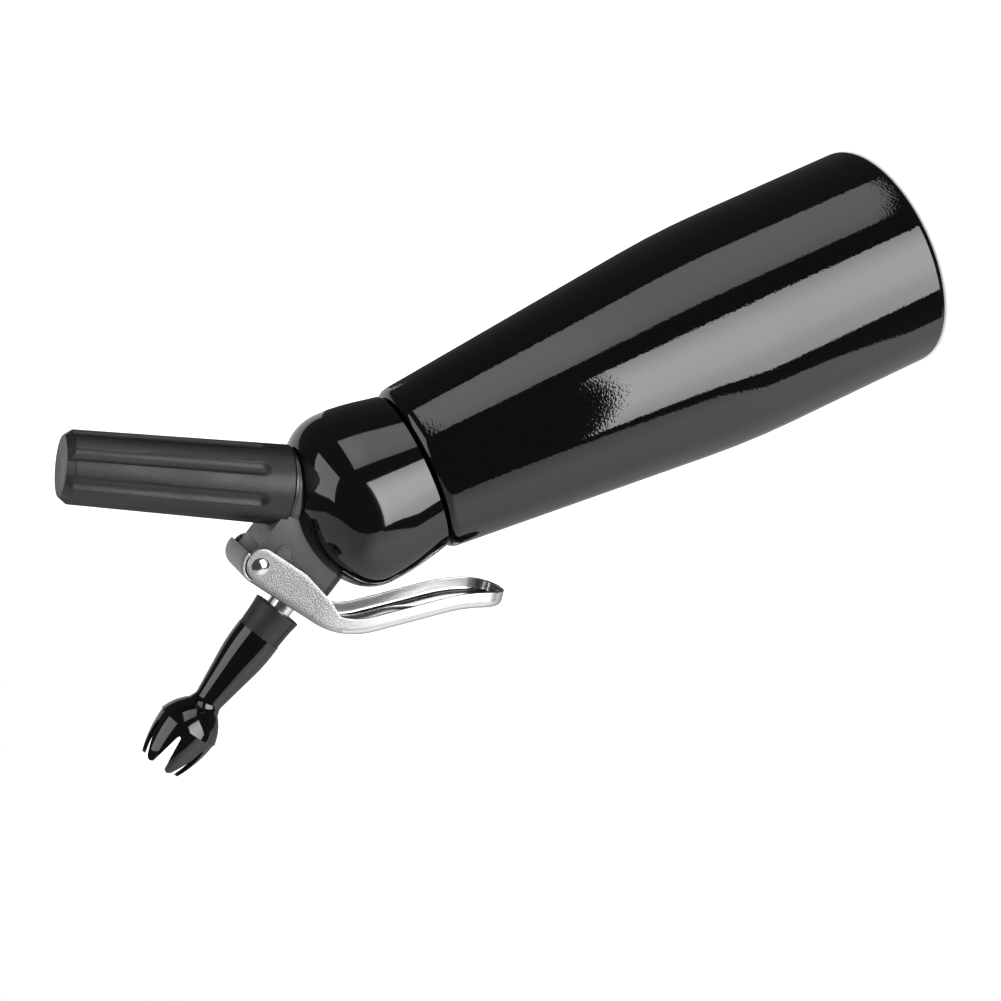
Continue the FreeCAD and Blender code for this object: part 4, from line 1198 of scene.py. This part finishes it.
PANELS = {
    "panel_front": front_rows(),
    "panel_right": right_rows(),
    "panel_left": left_rows(),
    "panel_above": [[(485, -379, 588, 2.8), (607, 163, 595, 2.8)],
                    [(115, -199, 817, 2.8), (171, 144, 833, 2.8)]],
    "panel_back": [[(-370, 800, 40, 0.8), (373, 800, 40, 0.8)],
                   [(-370, 800, 820, 0.8), (373, 800, 820, 0.8)]],
}


class DISPENSER_OT_stage(Operator):
    """Pale floor, soft light and camera"""
    bl_idname = "dispenser.stage"
    bl_label = "Stage"

    def execute(self, context):
        self.add_camera(context.scene)
        self.add_floor(context.scene.dispenser_colours.floor)
        self.add_surroundings(context.scene)
        glow = self.panel_light()
        for name, rows in PANELS.items():
            self.add_panel(name, rows, glow)
        self.add_sun()
        context.scene.view_settings.view_transform = "Standard"
        context.scene.view_settings.look = "None"
        return {"FINISHED"}

    def add_camera(self, scene):
        data = bpy.data.cameras.new("camera")
        data.sensor_width = SENSOR
        data.lens = FOCAL_PIXELS * SENSOR / IMAGE_PIXELS
        data.clip_start = 0.01
        camera = bpy.data.objects.new("camera", data)
        back = CAMERA_RIGHT.cross(CAMERA_UP)
        turn = Matrix((CAMERA_RIGHT, CAMERA_UP, back)).transposed()
        camera.matrix_world = Matrix.Translation(CAMERA_PLACE) @ turn.to_4x4()
        scene.collection.objects.link(camera)
        scene.camera = camera

    def add_floor(self, base):
        bm = bmesh.new()
        bmesh.ops.create_grid(bm, x_segments=2, y_segments=2, size=FLOOR_SIZE)
        bmesh.ops.translate(bm, vec=(0, 0, -FLOOR_GAP * MM), verts=bm.verts)
        glow = {"Roughness": 0.9, "Emission Color": WHITE, "Emission Strength": FLOOR_GLOW}
        floor = self.add_stage_mesh("floor", bm, new_finish("painted_floor", base, glow)[0])
        floor.visible_glossy = False

    def add_surroundings(self, scene):
        """White studio to the eye and matt surfaces, dim in reflections, where only the panels are bright."""
        world = bpy.data.worlds.new("studio")
        scene.world = world
        world.use_nodes = True
        tree = world.node_tree
        tree.nodes.clear()
        ray = add_node(tree, "ShaderNodeLightPath", {}, {})
        strength = add_node(tree, "ShaderNodeMapRange", {"To Min": 1.0, "To Max": STUDIO_IN_GLOSS},
                            {"Value": ray.outputs["Is Glossy Ray"]})
        light = add_node(tree, "ShaderNodeBackground", {"Color": WHITE}, {"Strength": strength})
        add_node(tree, "ShaderNodeOutputWorld", {}, {"Surface": light})
        world.cycles.sampling_method = "NONE"

    def panel_light(self):
        """Light of the panels, as strong as each panel's own attribute says."""
        material = bpy.data.materials.new("panel_light")
        material.use_nodes = True
        tree = material.node_tree
        tree.nodes.clear()
        strength = add_node(tree, "ShaderNodeAttribute", {"attribute_name": "strength"}, {})
        light = add_node(tree, "ShaderNodeEmission", {}, {"Strength": strength.outputs["Fac"]})
        add_node(tree, "ShaderNodeOutputMaterial", {}, {"Surface": light})
        return material

    def add_panel(self, name, rows, light):
        """Light panel that shows only in reflections, a grid laid on rows of (x, y, z, strength)."""
        bm = bmesh.new()
        layer = bm.verts.layers.float.new("strength")
        bmesh.ops.create_grid(bm, x_segments=len(rows[0]) - 1, y_segments=len(rows) - 1, size=1)
        for vert in bm.verts:
            column, row = grid_place(vert, len(rows[0]), len(rows))
            vert.co = Vector(rows[row][column][:3]) * MM
            vert[layer] = rows[row][column][3]
        panel = self.add_stage_mesh(name, bm, light)
        panel.visible_camera = False
        panel.visible_diffuse = False
        panel.visible_shadow = False

    def add_stage_mesh(self, name, bm, material):
        mesh = bpy.data.meshes.new(name)
        bm.to_mesh(mesh)
        bm.free()
        mesh.materials.append(material)
        stage = bpy.data.objects.new(name, mesh)
        bpy.context.collection.objects.link(stage)
        return stage

    def add_sun(self):
        """Soft light from one side, for matt surfaces only."""
        data = bpy.data.lights.new("sun_soft", "SUN")
        data.energy = SUN_STRENGTH
        data.angle = SUN_SPREAD
        lamp = bpy.data.objects.new("sun_soft", data)
        lamp.rotation_euler = (-SUN_FROM).to_track_quat("-Z", "Y").to_euler()
        lamp.visible_glossy = False
        bpy.context.collection.objects.link(lamp)


# ---------------------------------------------------------------- panel and registration
PIECES = (
    DISPENSER_OT_bottle, DISPENSER_OT_head, DISPENSER_OT_holder, DISPENSER_OT_charger, DISPENSER_OT_valve,
    DISPENSER_OT_lever, DISPENSER_OT_pin, DISPENSER_OT_nozzle, DISPENSER_OT_inner, DISPENSER_OT_stage,
)
GROUPS = {
    "dispenser_bottle": DispenserBottle, "dispenser_head": DispenserHead,
    "dispenser_holder": DispenserHolder, "dispenser_lever": DispenserLever,
    "dispenser_nozzle": DispenserNozzle, "dispenser_colours": DispenserColours,
}


class DISPENSER_PT_panel(Panel):
    """Sizes, colours and pieces of the dispenser"""
    bl_label = "Cream dispenser"
    bl_idname = "DISPENSER_PT_panel"
    bl_space_type = "VIEW_3D"
    bl_region_type = "UI"
    bl_category = "Dispenser"

    def draw(self, context):
        for group, kind in GROUPS.items():
            box = self.layout.box()
            for name in kind.__annotations__:
                box.prop(getattr(context.scene, group), name)
        for piece in PIECES:
            self.layout.operator(piece.bl_idname)


def register():
    for kind in (*GROUPS.values(), *PIECES, DISPENSER_PT_panel):
        bpy.utils.register_class(kind)
    for group, kind in GROUPS.items():
        setattr(bpy.types.Scene, group, PointerProperty(type=kind))


def unregister():
    for group in GROUPS:
        delattr(bpy.types.Scene, group)
    for kind in (DISPENSER_PT_panel, *reversed(PIECES), *reversed(tuple(GROUPS.values()))):
        bpy.utils.unregister_class(kind)


def main():
    register()
    for piece in PIECES:
        group, name = piece.bl_idname.split(".")
        getattr(getattr(bpy.ops, group), name)()


if __name__ == "__main__":
    main()
